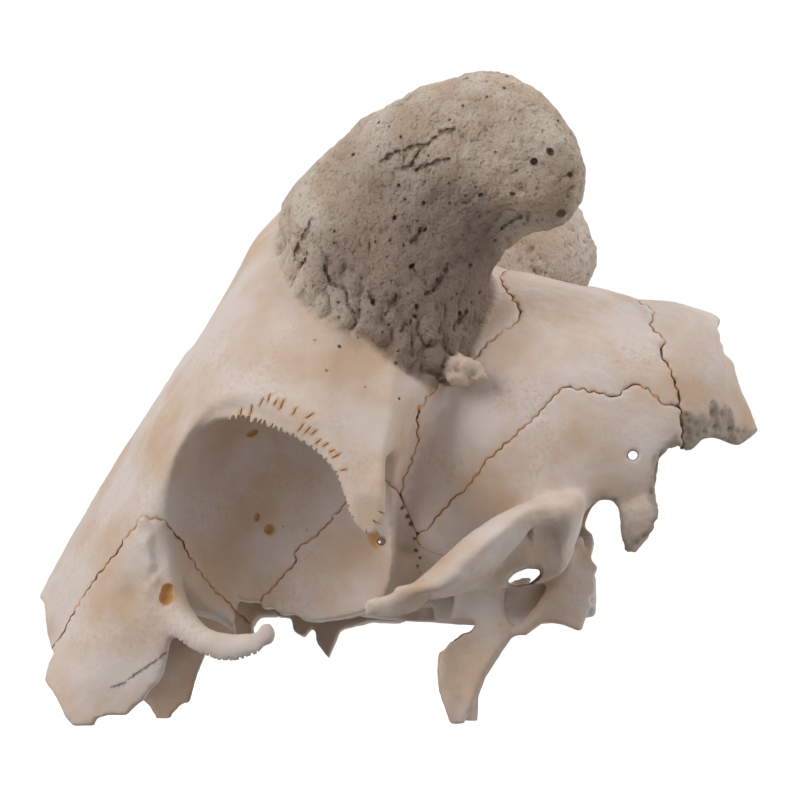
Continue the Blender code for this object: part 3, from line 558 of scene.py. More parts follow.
half_gap = SUTURE_GAP / 2
interfrontal = seam("interfrontal", [(-80, 0), (22, 0)], -25, 70, pitch=1.2, depth=0.4, seed=10)
interfrontal.data.transform(Matrix.Rotation(math.radians(90), 4, "X"))
cut_away(skull, [
    seam("coronal", CORONAL, -60, 60, depth=0.62, seed=1),
    seam("squamosal_left", SQUAMOSAL, -60, -14, depth=0.5, seed=2),
    seam("squamosal_right", SQUAMOSAL, 14, 60, depth=0.5, seed=3),
    seam("sphenotemporal_left", SPHENOTEMPORAL, -38, -15, seed=4),
    seam("sphenotemporal_right", SPHENOTEMPORAL, 15, 38, seed=5),
    seam("lambdoid", LAMBDOID, -60, 60, gap=0.24, depth=0.5, seed=6),
    seam("frontosphenoid", FRONTOSPHENOID, -42, 42, depth=0.6, seed=7),
    seam("frontolacrimal", FRONTOLACRIMAL, -60, 60, depth=0.6, seed=8),
    seam("lacrimal_foot", LACRIMAL_FOOT, -31, 31, seed=9),
    interfrontal,
    slab("base_left", (4.7, -BASE_SEAM - half_gap, -60), (41.5, -BASE_SEAM + half_gap, -25)),
    slab("base_right", (4.7, BASE_SEAM - half_gap, -60), (41.5, BASE_SEAM + half_gap, -25)),
])

# The nine bones: each is the body of the cut skull that lies nearest to a point on it. Their
# edges are worn round, so each gets a fine skin of its own that rounds them a little.
FINE_VOXELS = {"left_frontal": 0.6, "right_frontal": 0.62}
SMALL_BONE_VOXEL = 0.46
BONE_POINTS = {
    "left_frontal": (-1, -51, -25), "right_frontal": (-1, 51, -25),
    "left_lacrimal": (-50, -31, -58), "right_lacrimal": (-50, 31, -58),
    "parietal": (35, 0, 20), "occipital": (60, 0, 11),
    "left_temporal": (30, -40, -25), "right_temporal": (30, 40, -25),
    "sphenoid": (14, -11, -50),
}


def loose_bodies(obj):
    """Number of the loose body that each vertex belongs to."""
    count = len(obj.data.vertices)
    pairs = np.empty(len(obj.data.edges) * 2, np.int32)
    obj.data.edges.foreach_get("vertices", pairs)
    pairs = pairs.reshape(-1, 2)
    label = np.arange(count)
    while True:
        low = np.minimum(label[pairs[:, 0]], label[pairs[:, 1]])
        new = label.copy()
        np.minimum.at(new, pairs[:, 0], low)
        np.minimum.at(new, pairs[:, 1], low)
        new = new[new]
        if np.array_equal(new, label):
            return label
        label = new


def vertex_places(mesh):
    places = np.empty(len(mesh.vertices) * 3, np.float32)
    mesh.vertices.foreach_get("co", places)
    return places.reshape(-1, 3).astype(float)


def vertex_normals(mesh):
    normals = np.empty(len(mesh.vertices) * 3, np.float32)
    mesh.vertex_normals.foreach_get("vector", normals)
    return normals.reshape(-1, 3).astype(float)


def body_nearest(obj, labels, point):
    places = vertex_places(obj.data)
    common = [n for n, many in zip(*np.unique(labels, return_counts=True)) if many > 40]
    gaps = [np.linalg.norm(places[labels == n] - np.array(point) * MM, axis=1).min() for n in common]
    return common[int(np.argmin(gaps))]


# The rim over each eye is a thin sharp shelf, and the process behind it ends in a flat tooth.
BROW_RIM = [
    (-33, -11.6), (-29.5, -10), (-24.2, -10.8), (-18.2, -12.6), (-13.4, -15.1), (-9.8, -18), (-7.6, -20.6), (-6.7, -23.6),
]
RIM_HALVES = [(-42.5, 36.5), (-38, 40.5), (-32, 43.5), (-24.5, 46.5), (-16, 49), (-9.5, 50.5), (-6, 51.5), (-3.5, 52)]
PROCESS_PLATE = [
    [(-6.6, -47.4, -16.6), (-3.7, -47.8, -16.6), (-1.4, -47.2, -16.6)],
    [(-6.3, -49.8, -22.4), (-3.2, -50.2, -22.4), (-0.8, -49.6, -22.4)],
    [(-5.7, -50.5, -26.3), (-2.6, -50.8, -26.3), (0.5, -50.5, -26.3)],
    [(-4.9, -50.6, -28.4), (-2.3, -50.9, -28.8), (0.7, -50.7, -28.4)],
    [(-3, -50.7, -31), (-1.8, -50.8, -31.4), (-0.6, -50.8, -31.2)],
]
ZYGOMA_TIP = [
    [(-1.6, -47.6, -43.4), (-1.8, -46.8, -44.6), (-1.5, -46.2, -45.6), (-1.2, -46, -44.4)],
    [(1.2, -47.9, -41.8), (1, -48.3, -43.6), (1, -46.6, -46), (1, -45.3, -44)],
    [(5, -48.2, -41.2), (5, -48.6, -42.3), (5, -46.2, -45.2), (5, -45, -43)],
    [(10, -47.6, -38.2), (10, -49.2, -40), (9.5, -45.5, -44), (9.5, -44, -41)],
]
HEEL_LUMPS = [
    ((12.3, -35.4, 1.4), (2.0, 2.8, 2.3)), ((14.7, -35.6, 0.7), (2.0, 2.6, 1.8)), ((16.5, -34.8, -0.8), (1.7, 2.2, 1.5)),
    ((13.7, -35.2, -1.5), (1.9, 2.3, 1.5)), ((11.8, -35.8, -1.0), (1.7, 2.4, 2.0)),
]
TEMPORAL_LOBE = [
    [(41.5, -25.2, -19.4), (44.8, -25.2, -19.4), (48, -24.4, -19.4)],
    [(41.6, -25.8, -22.4), (45, -25.8, -22.4), (48.4, -25, -22.4)],
    [(41.8, -25.8, -25.6), (45.2, -25.8, -25.6), (48.6, -25, -25.6)],
    [(42.2, -24.9, -28.8), (44.6, -24.9, -28.8), (47, -24.3, -28.8)],
    [(42.9, -23.9, -31.2), (43.8, -23.9, -31.5), (44.6, -23.7, -31.2)],
]
OCCIPITAL_BREAK = [
    (50.5, -5.8), (52.8, -6.2), (55.5, -6.9), (57.9, -6.6), (58.3, -4.2), (59.2, -3.8), (59.9, -5.1), (61.2, -4.2),
    (62.3, -5.1), (62.8, -7.2), (66.6, -7.6), (70, -7.6),
]
TEMPORAL_BREAK = [(41.3, -25.2), (43.4, -24.2), (45.5, -24.6), (47.4, -23.9), (50, -25)]
left_ridge_rows = []
for lift, inward in ((0.0, 0.9), (2.2, 1.3), (5.0, 3.0)):
    row = []
    for x, z in BROW_RIM:
        half = np.interp(x, *zip(*RIM_HALVES)) - max(0.0, -27 - x) * 0.3
        away = np.array([x + 21, z + 29.0])
        away *= lift / np.linalg.norm(away)
        row.append((x + away[0], -(half - inward), z + away[1]))
    left_ridge_rows.append(row)
extra_forms = {
    "left_frontal": [
        plate("left_brow", left_ridge_rows, thickness=1.7), plate("left_process", PROCESS_PLATE, thickness=1.9),
        *[ball("left_horn_heel", place, radii) for place, radii in HEEL_LUMPS],
    ],
    "right_frontal": [plate("right_brow", [flip(row) for row in left_ridge_rows], thickness=1.7)],
    "left_lacrimal": [ball("band_knob", (-20.6, -41.2, -48.2), (1.7, 1.5, 2.0))],
    "left_temporal": [ring_solid("zygoma_tip", ZYGOMA_TIP), plate("temporal_lobe", TEMPORAL_LOBE, thickness=2.4)],
}


def seen_from_left(tree, x, z, start=-90):
    """Depth y at which a line that runs to the animal's right, at x and z, first meets the bone."""
    hit = tree.ray_cast(Vector((x, start, z)) * MM, Vector((0, 1, 0)))[0]
    return None if hit is None else hit.y / MM


def tree_of(obj):
    bpy.context.view_layer.update()
    return BVHTree.FromObject(obj, bpy.context.evaluated_depsgraph_get())


def bevel_break(obj, edge, steep):
    """Slants a broken edge, so that its spongy inside faces down and to the left."""
    tree = tree_of(obj)
    rings = []
    for x, z in edge:
        y = seen_from_left(tree, x, z + 1)
        if y is None:
            y = rings[-1][0][1] + 3 if rings else -22
        rings.append([(x, y - 3, z + 3 * steep), (x, y + 6, z - 6 * steep), (x, y + 6, z - 22), (x, y - 3, z - 22)])
    cut_away(obj, [ring_solid("bevel", rings, along=1, around=1)])


labels = loose_bodies(skull)
bones = {}
for name, point in BONE_POINTS.items():
    mine = body_nearest(skull, labels, point)
    bm = bmesh.new()
    bm.from_mesh(skull.data)
    bm.verts.ensure_lookup_table()
    bmesh.ops.delete(bm, geom=[bm.verts[int(i)] for i in np.flatnonzero(labels != mine)], context="VERTS")
    raw = add_object(name + "_raw", bm)
    if name == "occipital":
        bevel_break(raw, OCCIPITAL_BREAK, 2.0)
    voxel = FINE_VOXELS.get(name, SMALL_BONE_VOXEL)
    bones[name] = grow_together(name + "_bone", [raw, *extra_forms.get(name, [])], voxel, 2)
discard([skull])

# Relief: all bone has a soft unevenness. The horn cores have long lobes that end round at the
# burr, furrows that follow the growth of the horn, and pores like pumice.
HORN_SIDES = {"left_frontal": -1, "right_frontal": 1}
LOBE_WIDTH, LOBE_STRETCH = 4.2, 1.9
TEMPORAL_LINE = [(36.5, 20.5), (43, 17.5), (46.5, 15), (48.5, 11), (49.5, 7)]
ZYGOMA_RIDGE = [(3.5, -41.3), (10.4, -40.6), (15.7, -37.9), (20.1, -34.9), (24.6, -30.8), (27.2, -28.3), (30.5, -27.6)]
GLENOID = (30.2, -32)
HEEL = (14, -35.2, 0)
CHEEK_CRUST = [(-43.5, -27.6), (-42.8, -31.2), (-42, -34.9), (-41.4, -38), (-42.3, -39.8)]
CHEEK_HOLLOW = (-46.6, -40.9)
horn_run = np.concatenate([[0], np.cumsum(np.linalg.norm(np.diff(horn_places.mean(1), axis=0), axis=1))])
horn_spots = []
for i in range(rows_of_horn):
    for j in range(spots_of_ring + 1):
        turn = 2 * math.pi * j / spots_of_ring
        horn_spots.append(Vector((15 * math.cos(turn), 15 * math.sin(turn), horn_run[i])))
horn_corners = [Vector(p) for p in horn_places.reshape(-1, 3)]


def on_horn(p, side):
    """How much a point is horn core, and where on it: round the core and along it."""
    spot = Vector((p[0], p[1] if side < 0 else -p[1], p[2]))
    hit, _, index, gap = horn_tree.find_nearest(spot, 3.0)
    if hit is None:
        return 0.0, None
    i, j = index // spots_of_ring, index % spots_of_ring
    weights = interpolate.poly_3d_calc([horn_corners[k] for k in horn_faces[index]], hit)
    row = i * (spots_of_ring + 1) + j
    marks = [horn_spots[row], horn_spots[row + 1], horn_spots[row + spots_of_ring + 2], horn_spots[row + spots_of_ring + 1]]
    place = Vector((0, 0, 0))
    for weight, mark in zip(weights, marks):
        place += mark * weight
    return min(1.0, max(0.0, (2.4 - gap) / 1.4)), place


def groove(q, width):
    """1 on the borders between cells of a cell pattern, falling to 0 over the width."""
    near, _ = noise.voronoi(q)
    return max(0.0, 1 - (near[1] - near[0]) / width), near[0]


def horn_lift(place, p, side):
    shift = Vector((0, 0, 0)) if side < 0 else Vector((40, 7, 3))
    spot, run = Vector(p), place.z
    q = Vector((place.x, place.y, run / LOBE_STRETCH)) + shift
    q += noise.noise_vector(spot * 0.13) * 2.2 + noise.noise_vector(spot * 0.4) * 0.7
    lobe, middle = groove(q / LOBE_WIDTH, 0.24)
    furrow, _ = groove(Vector((q.x, q.y, q.z * 0.5)) / 3.6, 0.1)
    base = min(1.0, max(0.0, (15 - run) / 7))
    burr = min(1.0, max(0.0, (8 - run) / 4))
    patchy = min(1.0, max(0.0, noise.noise(spot * 0.16 + shift) * 2.2 + 0.3))
    lift = base * (1.5 * (0.42 - middle) - 0.9 * lobe) + 0.5 * burr
    lift -= (1 - base) * patchy * 0.65 * furrow
    lift += 0.45 * noise.noise(spot * 0.2 + shift) + 0.28 * noise.noise(spot * 0.5 + shift)
    return lift + 0.22 * noise.noise(spot * 0.9) + 0.14 * noise.noise(spot * 1.8)


def line_gap(places, line):
    """Distance of each place from a line of points, in x and z."""
    best = np.full(len(places), 1e9)
    flat = places[:, [0, 2]]
    for a, b in zip(np.array(line[:-1], float), np.array(line[1:], float)):
        run = b - a
        t = np.clip(((flat - a) @ run) / (run @ run), 0, 1)
        best = np.minimum(best, np.linalg.norm(flat - a - t[:, None] * run, axis=1))
    return best


STAIN_REACH = 1.3
trees = {name: tree_of(obj) for name, obj in bones.items()}


def suture_stain(name, obj):
    stain = np.zeros(len(obj.data.vertices))
    others = [tree for other, tree in trees.items() if other != name]
    for i, vert in enumerate(obj.data.vertices):
        for tree in others:
            hit, _, _, gap = tree.find_nearest(vert.co, STAIN_REACH * MM)
            if hit is not None:
                stain[i] = max(stain[i], 1 - gap / (STAIN_REACH * MM))
    return stain


def broken_share(name, places):
    """How much each place belongs to a broken edge, where the spongy inside shows."""
    share = np.zeros(len(places))
    if name in ("occipital", "left_temporal", "right_temporal", "parietal"):
        level = places - np.outer((places[:, 1] + 31) * BREAK_CLIMB, (0, 0, 1))
        share = np.clip(1.4 - line_gap(level, BROKEN_BELOW[:-2]) / 0.8, 0, 1) * np.clip((places[:, 0] - 36.5) / 2, 0, 1)
    for owner, edge, top in (("occipital", OCCIPITAL_BREAK, 1.0), ("left_temporal", TEMPORAL_BREAK, 0.3)):
        if name == owner:
            x, z = zip(*edge)
            below = np.interp(places[:, 0], x, z) - places[:, 2]
            below[(places[:, 0] < x[0]) | (places[:, 0] > x[-1])] = -9
            ragged = [0.8 * noise.noise(Vector(p) * 0.6) for p in places]
            share = np.maximum(share, top * np.clip(0.6 + (below + ragged) / 0.7, 0, 1))
    return share


def add_relief(name, obj):
    places = vertex_places(obj.data) / MM
    side = HORN_SIDES.get(name, 0)
    lift = np.full(len(places), -0.04)
    lift += 0.11 * np.clip((suture_stain(name, obj) - 0.72) / 0.2, 0, 1)
    for i, p in enumerate(places):
        lift[i] += 0.2 * noise.noise(Vector(p) * 0.15) + 0.08 * noise.noise(Vector(p) * 0.6)
        if side and p[2] > -4:
            horn, place = on_horn(p, side)
            if horn > 0:
                lift[i] += horn * horn_lift(place, p, side)
    if name == "parietal":
        lift += 0.5 * np.exp(-(line_gap(places, TEMPORAL_LINE) / 0.9) ** 2) * (np.abs(places[:, 1]) > 6)
    if name.endswith("temporal"):
        outer = np.clip((np.abs(places[:, 1]) - 27) / 4, 0, 1)
        lift -= 3.8 * outer * np.exp(-(np.linalg.norm(places[:, [0, 2]] - GLENOID, axis=1) / 3.4) ** 2)
        lift += 0.8 * np.exp(-(line_gap(places, ZYGOMA_RIDGE) / 0.9) ** 2) * (np.abs(places[:, 1]) > 38)
        below = np.interp(places[:, 0], *zip(*ZYGOMA_RIDGE)) - places[:, 2]
        lift -= 1.3 * outer * np.exp(-((below - 2.6) / 1.5) ** 2) * np.clip((places[:, 0] - 5) / 4, 0, 1) * (places[:, 0] < 27)
    if name == "left_frontal":
        for i in np.flatnonzero(np.linalg.norm(places - HEEL, axis=1) < 5):
            p = Vector(places[i])
            lift[i] += 0.5 * noise.noise(p * 0.8) + 0.4 * noise.noise(p * 1.6)
    if name.endswith("lacrimal"):
        outer = np.abs(places[:, 1]) > 29
        crust = [max(0.0, 0.5 + noise.noise(Vector(p) * 0.5)) for p in places]
        lift += 0.6 * outer * np.array(crust) * np.exp(-(line_gap(places, CHEEK_CRUST) / 1.2) ** 2)
        lift -= 0.9 * outer * np.exp(-(np.linalg.norm(places[:, [0, 2]] - CHEEK_HOLLOW, axis=1) / 3.2) ** 2)
    broken = broken_share(name, places)
    for i in np.flatnonzero(broken):
        _, middle = groove(Vector(places[i]) / 1.5, 0.3)
        lift[i] -= broken[i] * 0.7 * max(0.0, 1 - middle / 0.55)
    places += vertex_normals(obj.data) * lift[:, None]
    obj.data.vertices.foreach_set("co", (places * MM).astype(np.float32).ravel())
    obj.data.update()


for name, obj in bones.items():
    add_relief(name, obj)

# Small openings: pores of the horn cores, nerve and vessel holes of the orbit, thin clefts above
# the eye and the fine teeth of the rims, where the growing edge of the bone is still open.
HORN_PORES = [
    (27.1, 35.7, 1.0), (30, 37.3, 0.95), (33.4, 33.6, 0.75), (31.7, 27.6, 1.3), (23.1, 30.6, 0.6), (17.3, 30.7, 0.6),
    (7, 29.5, 0.5), (1.7, 27, 0.6), (0.9, 22.8, 0.45), (7.2, 24.9, 0.5), (4.7, 18.2, 0.75), (9.3, 16, 0.6),
    (-2, 11.7, 0.6), (5.7, 10.9, 0.65), (13, 10.7, 0.6), (9.8, 6.9, 0.8), (20.9, 25.7, 0.55), (19.5, 23.7, 0.55),
    (15.1, 19.2, 0.5), (16.5, 15.2, 0.5), (15.2, 13, 0.5), (-7.9, 3.3, 0.5), (-1.4, 45, 0.4), (-6.1, 39.3, 0.5),
    (12.6, 13.9, 0.4), (2.5, 32.8, 0.5), (3.6, 30.3, 0.4),
]
HORN_CRACKS = [
    [(-0.8, 37.4), (2, 38.9), (4.7, 39.4), (7.6, 40), (10, 41.8), (13.1, 42.4)],
    [(6.4, 38.9), (5.2, 37), (4.5, 36.1), (2.6, 35.9)],
    [(5.8, 35.6), (7.4, 35.9), (9.4, 36.9), (11.5, 37.1)],
    [(-17.2, 20.8), (-14.8, 24.4), (-13.4, 27.6)],
    [(-15.8, 19), (-13.8, 21.6)],
    [(-10.9, 18.1), (-10.2, 16.6), (-9.8, 15.2), (-8.4, 14.2)],
    [(6.1, 24.6), (5.4, 23.2), (4.6, 22.2)],
    [(11.2, 18.8), (10.2, 16.6), (9, 14.6), (7.4, 13.2)],
    [(-2.6, 13), (-1.8, 10.8)], [(0.4, 9.4), (1.8, 12.6)], [(3.2, 6.4), (5.4, 9.6)], [(7.4, 3.8), (9.2, 5.6)],
    [(12, 7.8), (14.4, 11.4)], [(24.2, 27.2), (21.4, 26.2)],
]
CRACK_RADIUS = 0.45
CHEEK_CRACK = [(-49.3, -56.9), (-47.2, -56.2), (-44.7, -54.4), (-41.6, -52.5), (-38.8, -50.3)]
ORBIT_HOLES = [
    (-24.9, -24.5, 0.65, 1.5, 80), (-22.8, -26.6, 1.05, 1.0, 0), (-20.3, -25.9, 0.28, 1.0, 0), (-15.8, -26.5, 0.25, 1.2, 90),
    (-9.3, -25.4, 0.32, 1.0, 0),
]
ROOF_HOLES = [(-25, -10.1, 0.9, 1.6, 35)]
LACRIMAL_HOLES = [(-39.2, -41.1, 1.5, 1.0, 0), (-39.1, -39.8, 1.3, 1.1, 60)]
OPTIC_HOLES = [(-2.6, -28.6, 1.9, 1.2, 10)]
FOREHEAD_PITS = [(2.2, 0.4, 0.3), (-9.9, -1.6, 0.2), (2.9, -6.3, 0.25), (-3.1, -4.4, 0.18), (-12.4, 4.4, 0.18)]
SPHENOID_PITS = [
    (2.3, -23.6, 0.42), (3.2, -25, 0.4), (3.9, -26.3, 0.45), (4.8, -27.6, 0.36), (4.4, -28.9, 0.34), (5.4, -29.7, 0.32),
    (4.6, -30.9, 0.36), (5.3, -32.2, 0.3), (4.8, -33.6, 0.26), (5.3, -34.8, 0.22),
]
ORBIT_MIDDLE = (-21, -29)
CLEFTS = [
    (-25.1, -8.9), (-23.2, -8.6), (-21.3, -7.4), (-19.9, -6.6), (-18.7, -7.6), (-17.5, -7.9), (-15.2, -9.3), (-12.4, -10.2),
    (-14.1, -12.4), (-12.9, -12.9), (-11.6, -13.2), (-10.9, -14.9), (-9.5, -15.5), (-8.4, -16.7), (-7.6, -17.6), (-6.2, -20.1),
]
ORBIT_RIM = [(-27, -9.6), (-24, -9.8), (-18, -12.5), (-12, -16), (-8, -20.5), (-6, -26), (-3.8, -31)]
BAND_EDGE = [(-37.5, -48.2), (-33.5, -51.3), (-27, -53.2), (-21, -51.6)]
PROCESS_CLEFTS = [
    [(1.9, -27.8), (1.6, -28.9), (-0.1, -27.4)], [(0.9, -30), (0.2, -31.4), (-1.1, -28.9)],
    [(-1.5, -32.8), (-2.3, -32.8), (-2.2, -30.4)],
]
stained = {"pore": [], "hole": [], "cleft": []}


def horn_heading(x, z):
    """Direction of growth of the left horn core near a point, in degrees from +X to +Z."""
    line = horn_places.mean(1)[:, [0, 2]]
    i = int(np.argmin(np.linalg.norm(line - (x, z), axis=1)))
    a, b = line[max(i - 3, 0)], line[min(i + 3, len(line) - 1)]
    return math.degrees(math.atan2(b[1] - a[1], b[0] - a[0]))


def dig_balls(obj, spots, kind="pore", steep=1.5, ragged=0.14, start=-90):
    """Takes small uneven pits out of the surface; spots are x, z, radius, stretch and turn."""
    tree = tree_of(obj)
    bm = bmesh.new()
    for x, z, radius, stretch, turn in spots:
        y = seen_from_left(tree, x, z, start)
        if y is None:
            continue
        made = bmesh.ops.create_icosphere(bm, subdivisions=3, radius=1.0)
        size = Vector((radius * stretch, radius * steep, radius / math.sqrt(stretch))) * MM
        bmesh.ops.scale(bm, vec=size, verts=made["verts"])
        bmesh.ops.rotate(bm, cent=(0, 0, 0), matrix=Matrix.Rotation(-math.radians(turn), 3, "Y"), verts=made["verts"])
        bmesh.ops.translate(bm, vec=Vector((x, y, z)) * MM, verts=made["verts"])
        stained[kind].append((Vector((x, y + 0.3 * radius * steep, z)), radius))
    for vert in bm.verts:
        vert.co += noise.noise_vector(vert.co / MM * 1.3) * ragged * MM
    cut_away(obj, [grow_together("pits", [add_object("pit_balls", bm)], 0.2, 1)])


def dig_prisms(obj, outlines, deep):
    """Takes thin clefts out of the surface, a depth in from where the left side sees them."""
    tree = tree_of(obj)
    bm = bmesh.new()
    for outline in outlines:
        x, z = np.mean(outline, axis=0)
        y = seen_from_left(tree, x, z)
        if y is None:
            continue
        tool = prism("cleft", outline, y - 2.5, y + deep)
        bm.from_mesh(tool.data)
        discard([tool])
        for share in np.arange(0.1, 1, 0.16):
            a = np.array(outline[0]) * (1 - share) + np.array(outline[3]) * share
            stained["cleft"].append((Vector((a[0], y, a[1])), 0.33))
    cut_away(obj, [add_object("clefts", bm)])


def cleft_outline(x, z, turn, length, width):
    """Thin bent lens of a length and width, turned from the direction away from the orbit's middle."""
    away = math.atan2(z - ORBIT_MIDDLE[1], x - ORBIT_MIDDLE[0]) + turn
    d = np.array([math.cos(away), math.sin(away)])
    n = np.array([-d[1], d[0]])
    spots = [(-0.5, 0.6), (-0.2, 0.5), (0.25, 0.4), (0.5, 0), (0.2, -0.45), (-0.25, -0.5)]
    return [tuple(np.array([x, z]) + d * length * a + n * width * b) for a, b in spots]


def rim_notches(line, pitch, reach, width, seed, inside):
    """Round-bottomed notches along a rim; inside tells which side of the line the air is on."""
    rng = np.random.default_rng(seed)
    places = through(line, 12)
    runs = np.concatenate([[0], np.cumsum(np.linalg.norm(np.diff(places, axis=0), axis=1))])
    notches = []
    spot = 0.4
    while spot < runs[-1]:
        p = np.array([np.interp(spot, runs, places[:, k]) for k in range(2)])
        q = np.array([np.interp(spot + 0.2, runs, places[:, k]) for k in range(2)])
        t = (q - p) / np.linalg.norm(q - p)
        n = np.array([-t[1], t[0]]) * inside
        deep = reach * rng.uniform(0.4, 1.2) * min(1.0, 0.3 + spot / 8)
        half = width * rng.uniform(0.75, 1.2) / 2
        lean = t * rng.uniform(-0.2, 0.2)
        shape = [(-2.2, 1.4), (2.2, 1.4), (0.9, -0.1), (0.5, -0.8 * deep), (0, -deep), (-0.5, -0.75 * deep), (-0.9, -0.1)]
        notches.append([tuple(p + t * half * a + n * b + (lean if b < -0.1 else 0)) for a, b in shape])
        spot += max(pitch * rng.uniform(0.75, 1.3), 2.1 * half)
    return notches


def through_notches(obj, notches, low, high):
    tools = [prism("notch", notch, low, high) for notch in notches]
    for tool in tools[::2]:
        tool.name = "even"
    for tool_set in (tools[::2], tools[1::2]):
        bm = bmesh.new()
        for tool in tool_set:
            bm.from_mesh(tool.data)
        discard(tool_set)
        cut_away(obj, [add_object("notches", bm)])


def crack_spots(lines, radius, rng):
    """Chains of long pits that run together into ragged cracks along the lines."""
    spots = []
    for line in lines:
        for (x0, z0), (x1, z1) in zip(line, line[1:]):
            long = math.hypot(x1 - x0, z1 - z0)
            turn = math.degrees(math.atan2(z1 - z0, x1 - x0))
            for t in np.arange(0, 1, 1.5 * radius / long):
                x, z = x0 + (x1 - x0) * t + rng.uniform(-0.5, 0.5) * radius, z0 + (z1 - z0) * t + rng.uniform(-0.5, 0.5) * radius
                spots.append((x, z, radius * rng.uniform(0.5, 1.3), 1.6, turn + rng.uniform(-30, 30)))
    return spots


rng = np.random.default_rng(11)
pores = [(x, z, 0.7 * r, rng.uniform(1.0, 1.6), horn_heading(x, z) + rng.uniform(-35, 20)) for x, z, r in HORN_PORES]
cracks = crack_spots(HORN_CRACKS, CRACK_RADIUS, rng)
small = []
while len(small) < 70:
    x, z = rng.uniform(-22, 36), rng.uniform(2, 54)
    _, place = on_horn((x, -44, z), -1)
    apart = all((x - a[0]) ** 2 + (z - a[1]) ** 2 > 2.2 for a in pores + cracks + small)
    if place is not None and apart:
        small.append((x, z, rng.uniform(0.14, 0.27), rng.uniform(1.0, 2.0), horn_heading(x, z) + rng.uniform(-40, 40)))
dig_balls(bones["left_frontal"], pores + small, steep=1.8)
dig_balls(bones["left_frontal"], cracks, steep=1.1, ragged=0.22)
dig_balls(bones["left_lacrimal"], crack_spots([CHEEK_CRACK], 0.17, rng), steep=1.3, ragged=0.08)
dig_balls(bones["left_frontal"], [(x, z, r, 1.0, 0) for x, z, r in FOREHEAD_PITS])
dig_balls(bones["left_frontal"], ORBIT_HOLES, "hole", steep=0.9, ragged=0.04)
dig_balls(bones["left_frontal"], ROOF_HOLES, "hole", steep=0.9, ragged=0.04, start=-42)
dig_balls(bones["left_lacrimal"], LACRIMAL_HOLES, "hole", steep=1.0, ragged=0.04)
dig_balls(bones["sphenoid"], OPTIC_HOLES, "hole", steep=0.6, ragged=0.04)
dig_balls(bones["sphenoid"], [(x, z, r, 1.2, 20) for x, z, r in SPHENOID_PITS], ragged=0.1)
dig_prisms(
    bones["left_frontal"],
    [cleft_outline(x, z, -0.35 + rng.uniform(-0.2, 0.2), rng.uniform(1.2, 2.8), rng.uniform(0.22, 0.32)) for x, z in CLEFTS], 0.3,
)
teeth = rim_notches(ORBIT_RIM, 1.15, 0.62, 0.6, 5, -1)
through_notches(bones["left_frontal"], teeth + PROCESS_CLEFTS, -56, -43)
through_notches(bones["right_frontal"], teeth, 43, 56)
band_teeth = rim_notches(BAND_EDGE, 1.15, 0.9, 0.62, 6, -1)
through_notches(bones["left_lacrimal"], band_teeth, -43, -33)

# Marks kept on the points for the material: rust along sutures and in holes, the horn cores and their grey-brown taupe,
# deepened with painted shade towards their near side, back and base, brown on the inside, and how deep each point lies
# in a crease, which paints shade into creases.
trees = {name: tree_of(obj) for name, obj in bones.items()}
stain_trees = {}
for kind, spots in stained.items():
    stain_trees[kind] = KDTree(len(spots))
    for i, (place, _) in enumerate(spots):
        stain_trees[kind].insert(place, i)
    stain_trees[kind].balance()


def add_attribute(obj, name, values):
    layer = obj.data.attributes.new(name, "FLOAT", "POINT")
    layer.data.foreach_set("value", np.asarray(values, np.float32))


def spot_stain(obj, kind):
    stain = np.zeros(len(obj.data.vertices))
    for i, vert in enumerate(obj.data.vertices):
        for place, index, gap in stain_trees[kind].find_range(vert.co / MM, 2.8):
            radius = stained[kind][index][1]
            deep = min(1.0, max(0.0, 0.5 + (vert.co.y / MM - place.y) / radius)) if kind == "hole" else 1.0
            stain[i] = max(stain[i], deep * min(1.0, max(0.0, 4.4 - 3.2 * gap / radius)))
    return stain


def hollow(obj, rounds):
    """How far each point lies below the average of its surroundings, in millimetres."""
    mesh = obj.data
    pairs = np.empty(len(mesh.edges) * 2, np.int32)
    mesh.edges.foreach_get("vertices", pairs)
    a, b = pairs.reshape(-1, 2).T
    places = vertex_places(mesh) / MM
    smooth = places.copy()
    count = np.bincount(a, minlength=len(places)) + np.bincount(b, minlength=len(places))
    for _ in range(rounds):
        total = np.stack([
            np.bincount(a, smooth[b, k], len(places)) + np.bincount(b, smooth[a, k], len(places)) for k in range(3)
        ], axis=1)
        smooth = total / count[:, None]
    return np.einsum("ij,ij->i", smooth - places, vertex_normals(mesh))


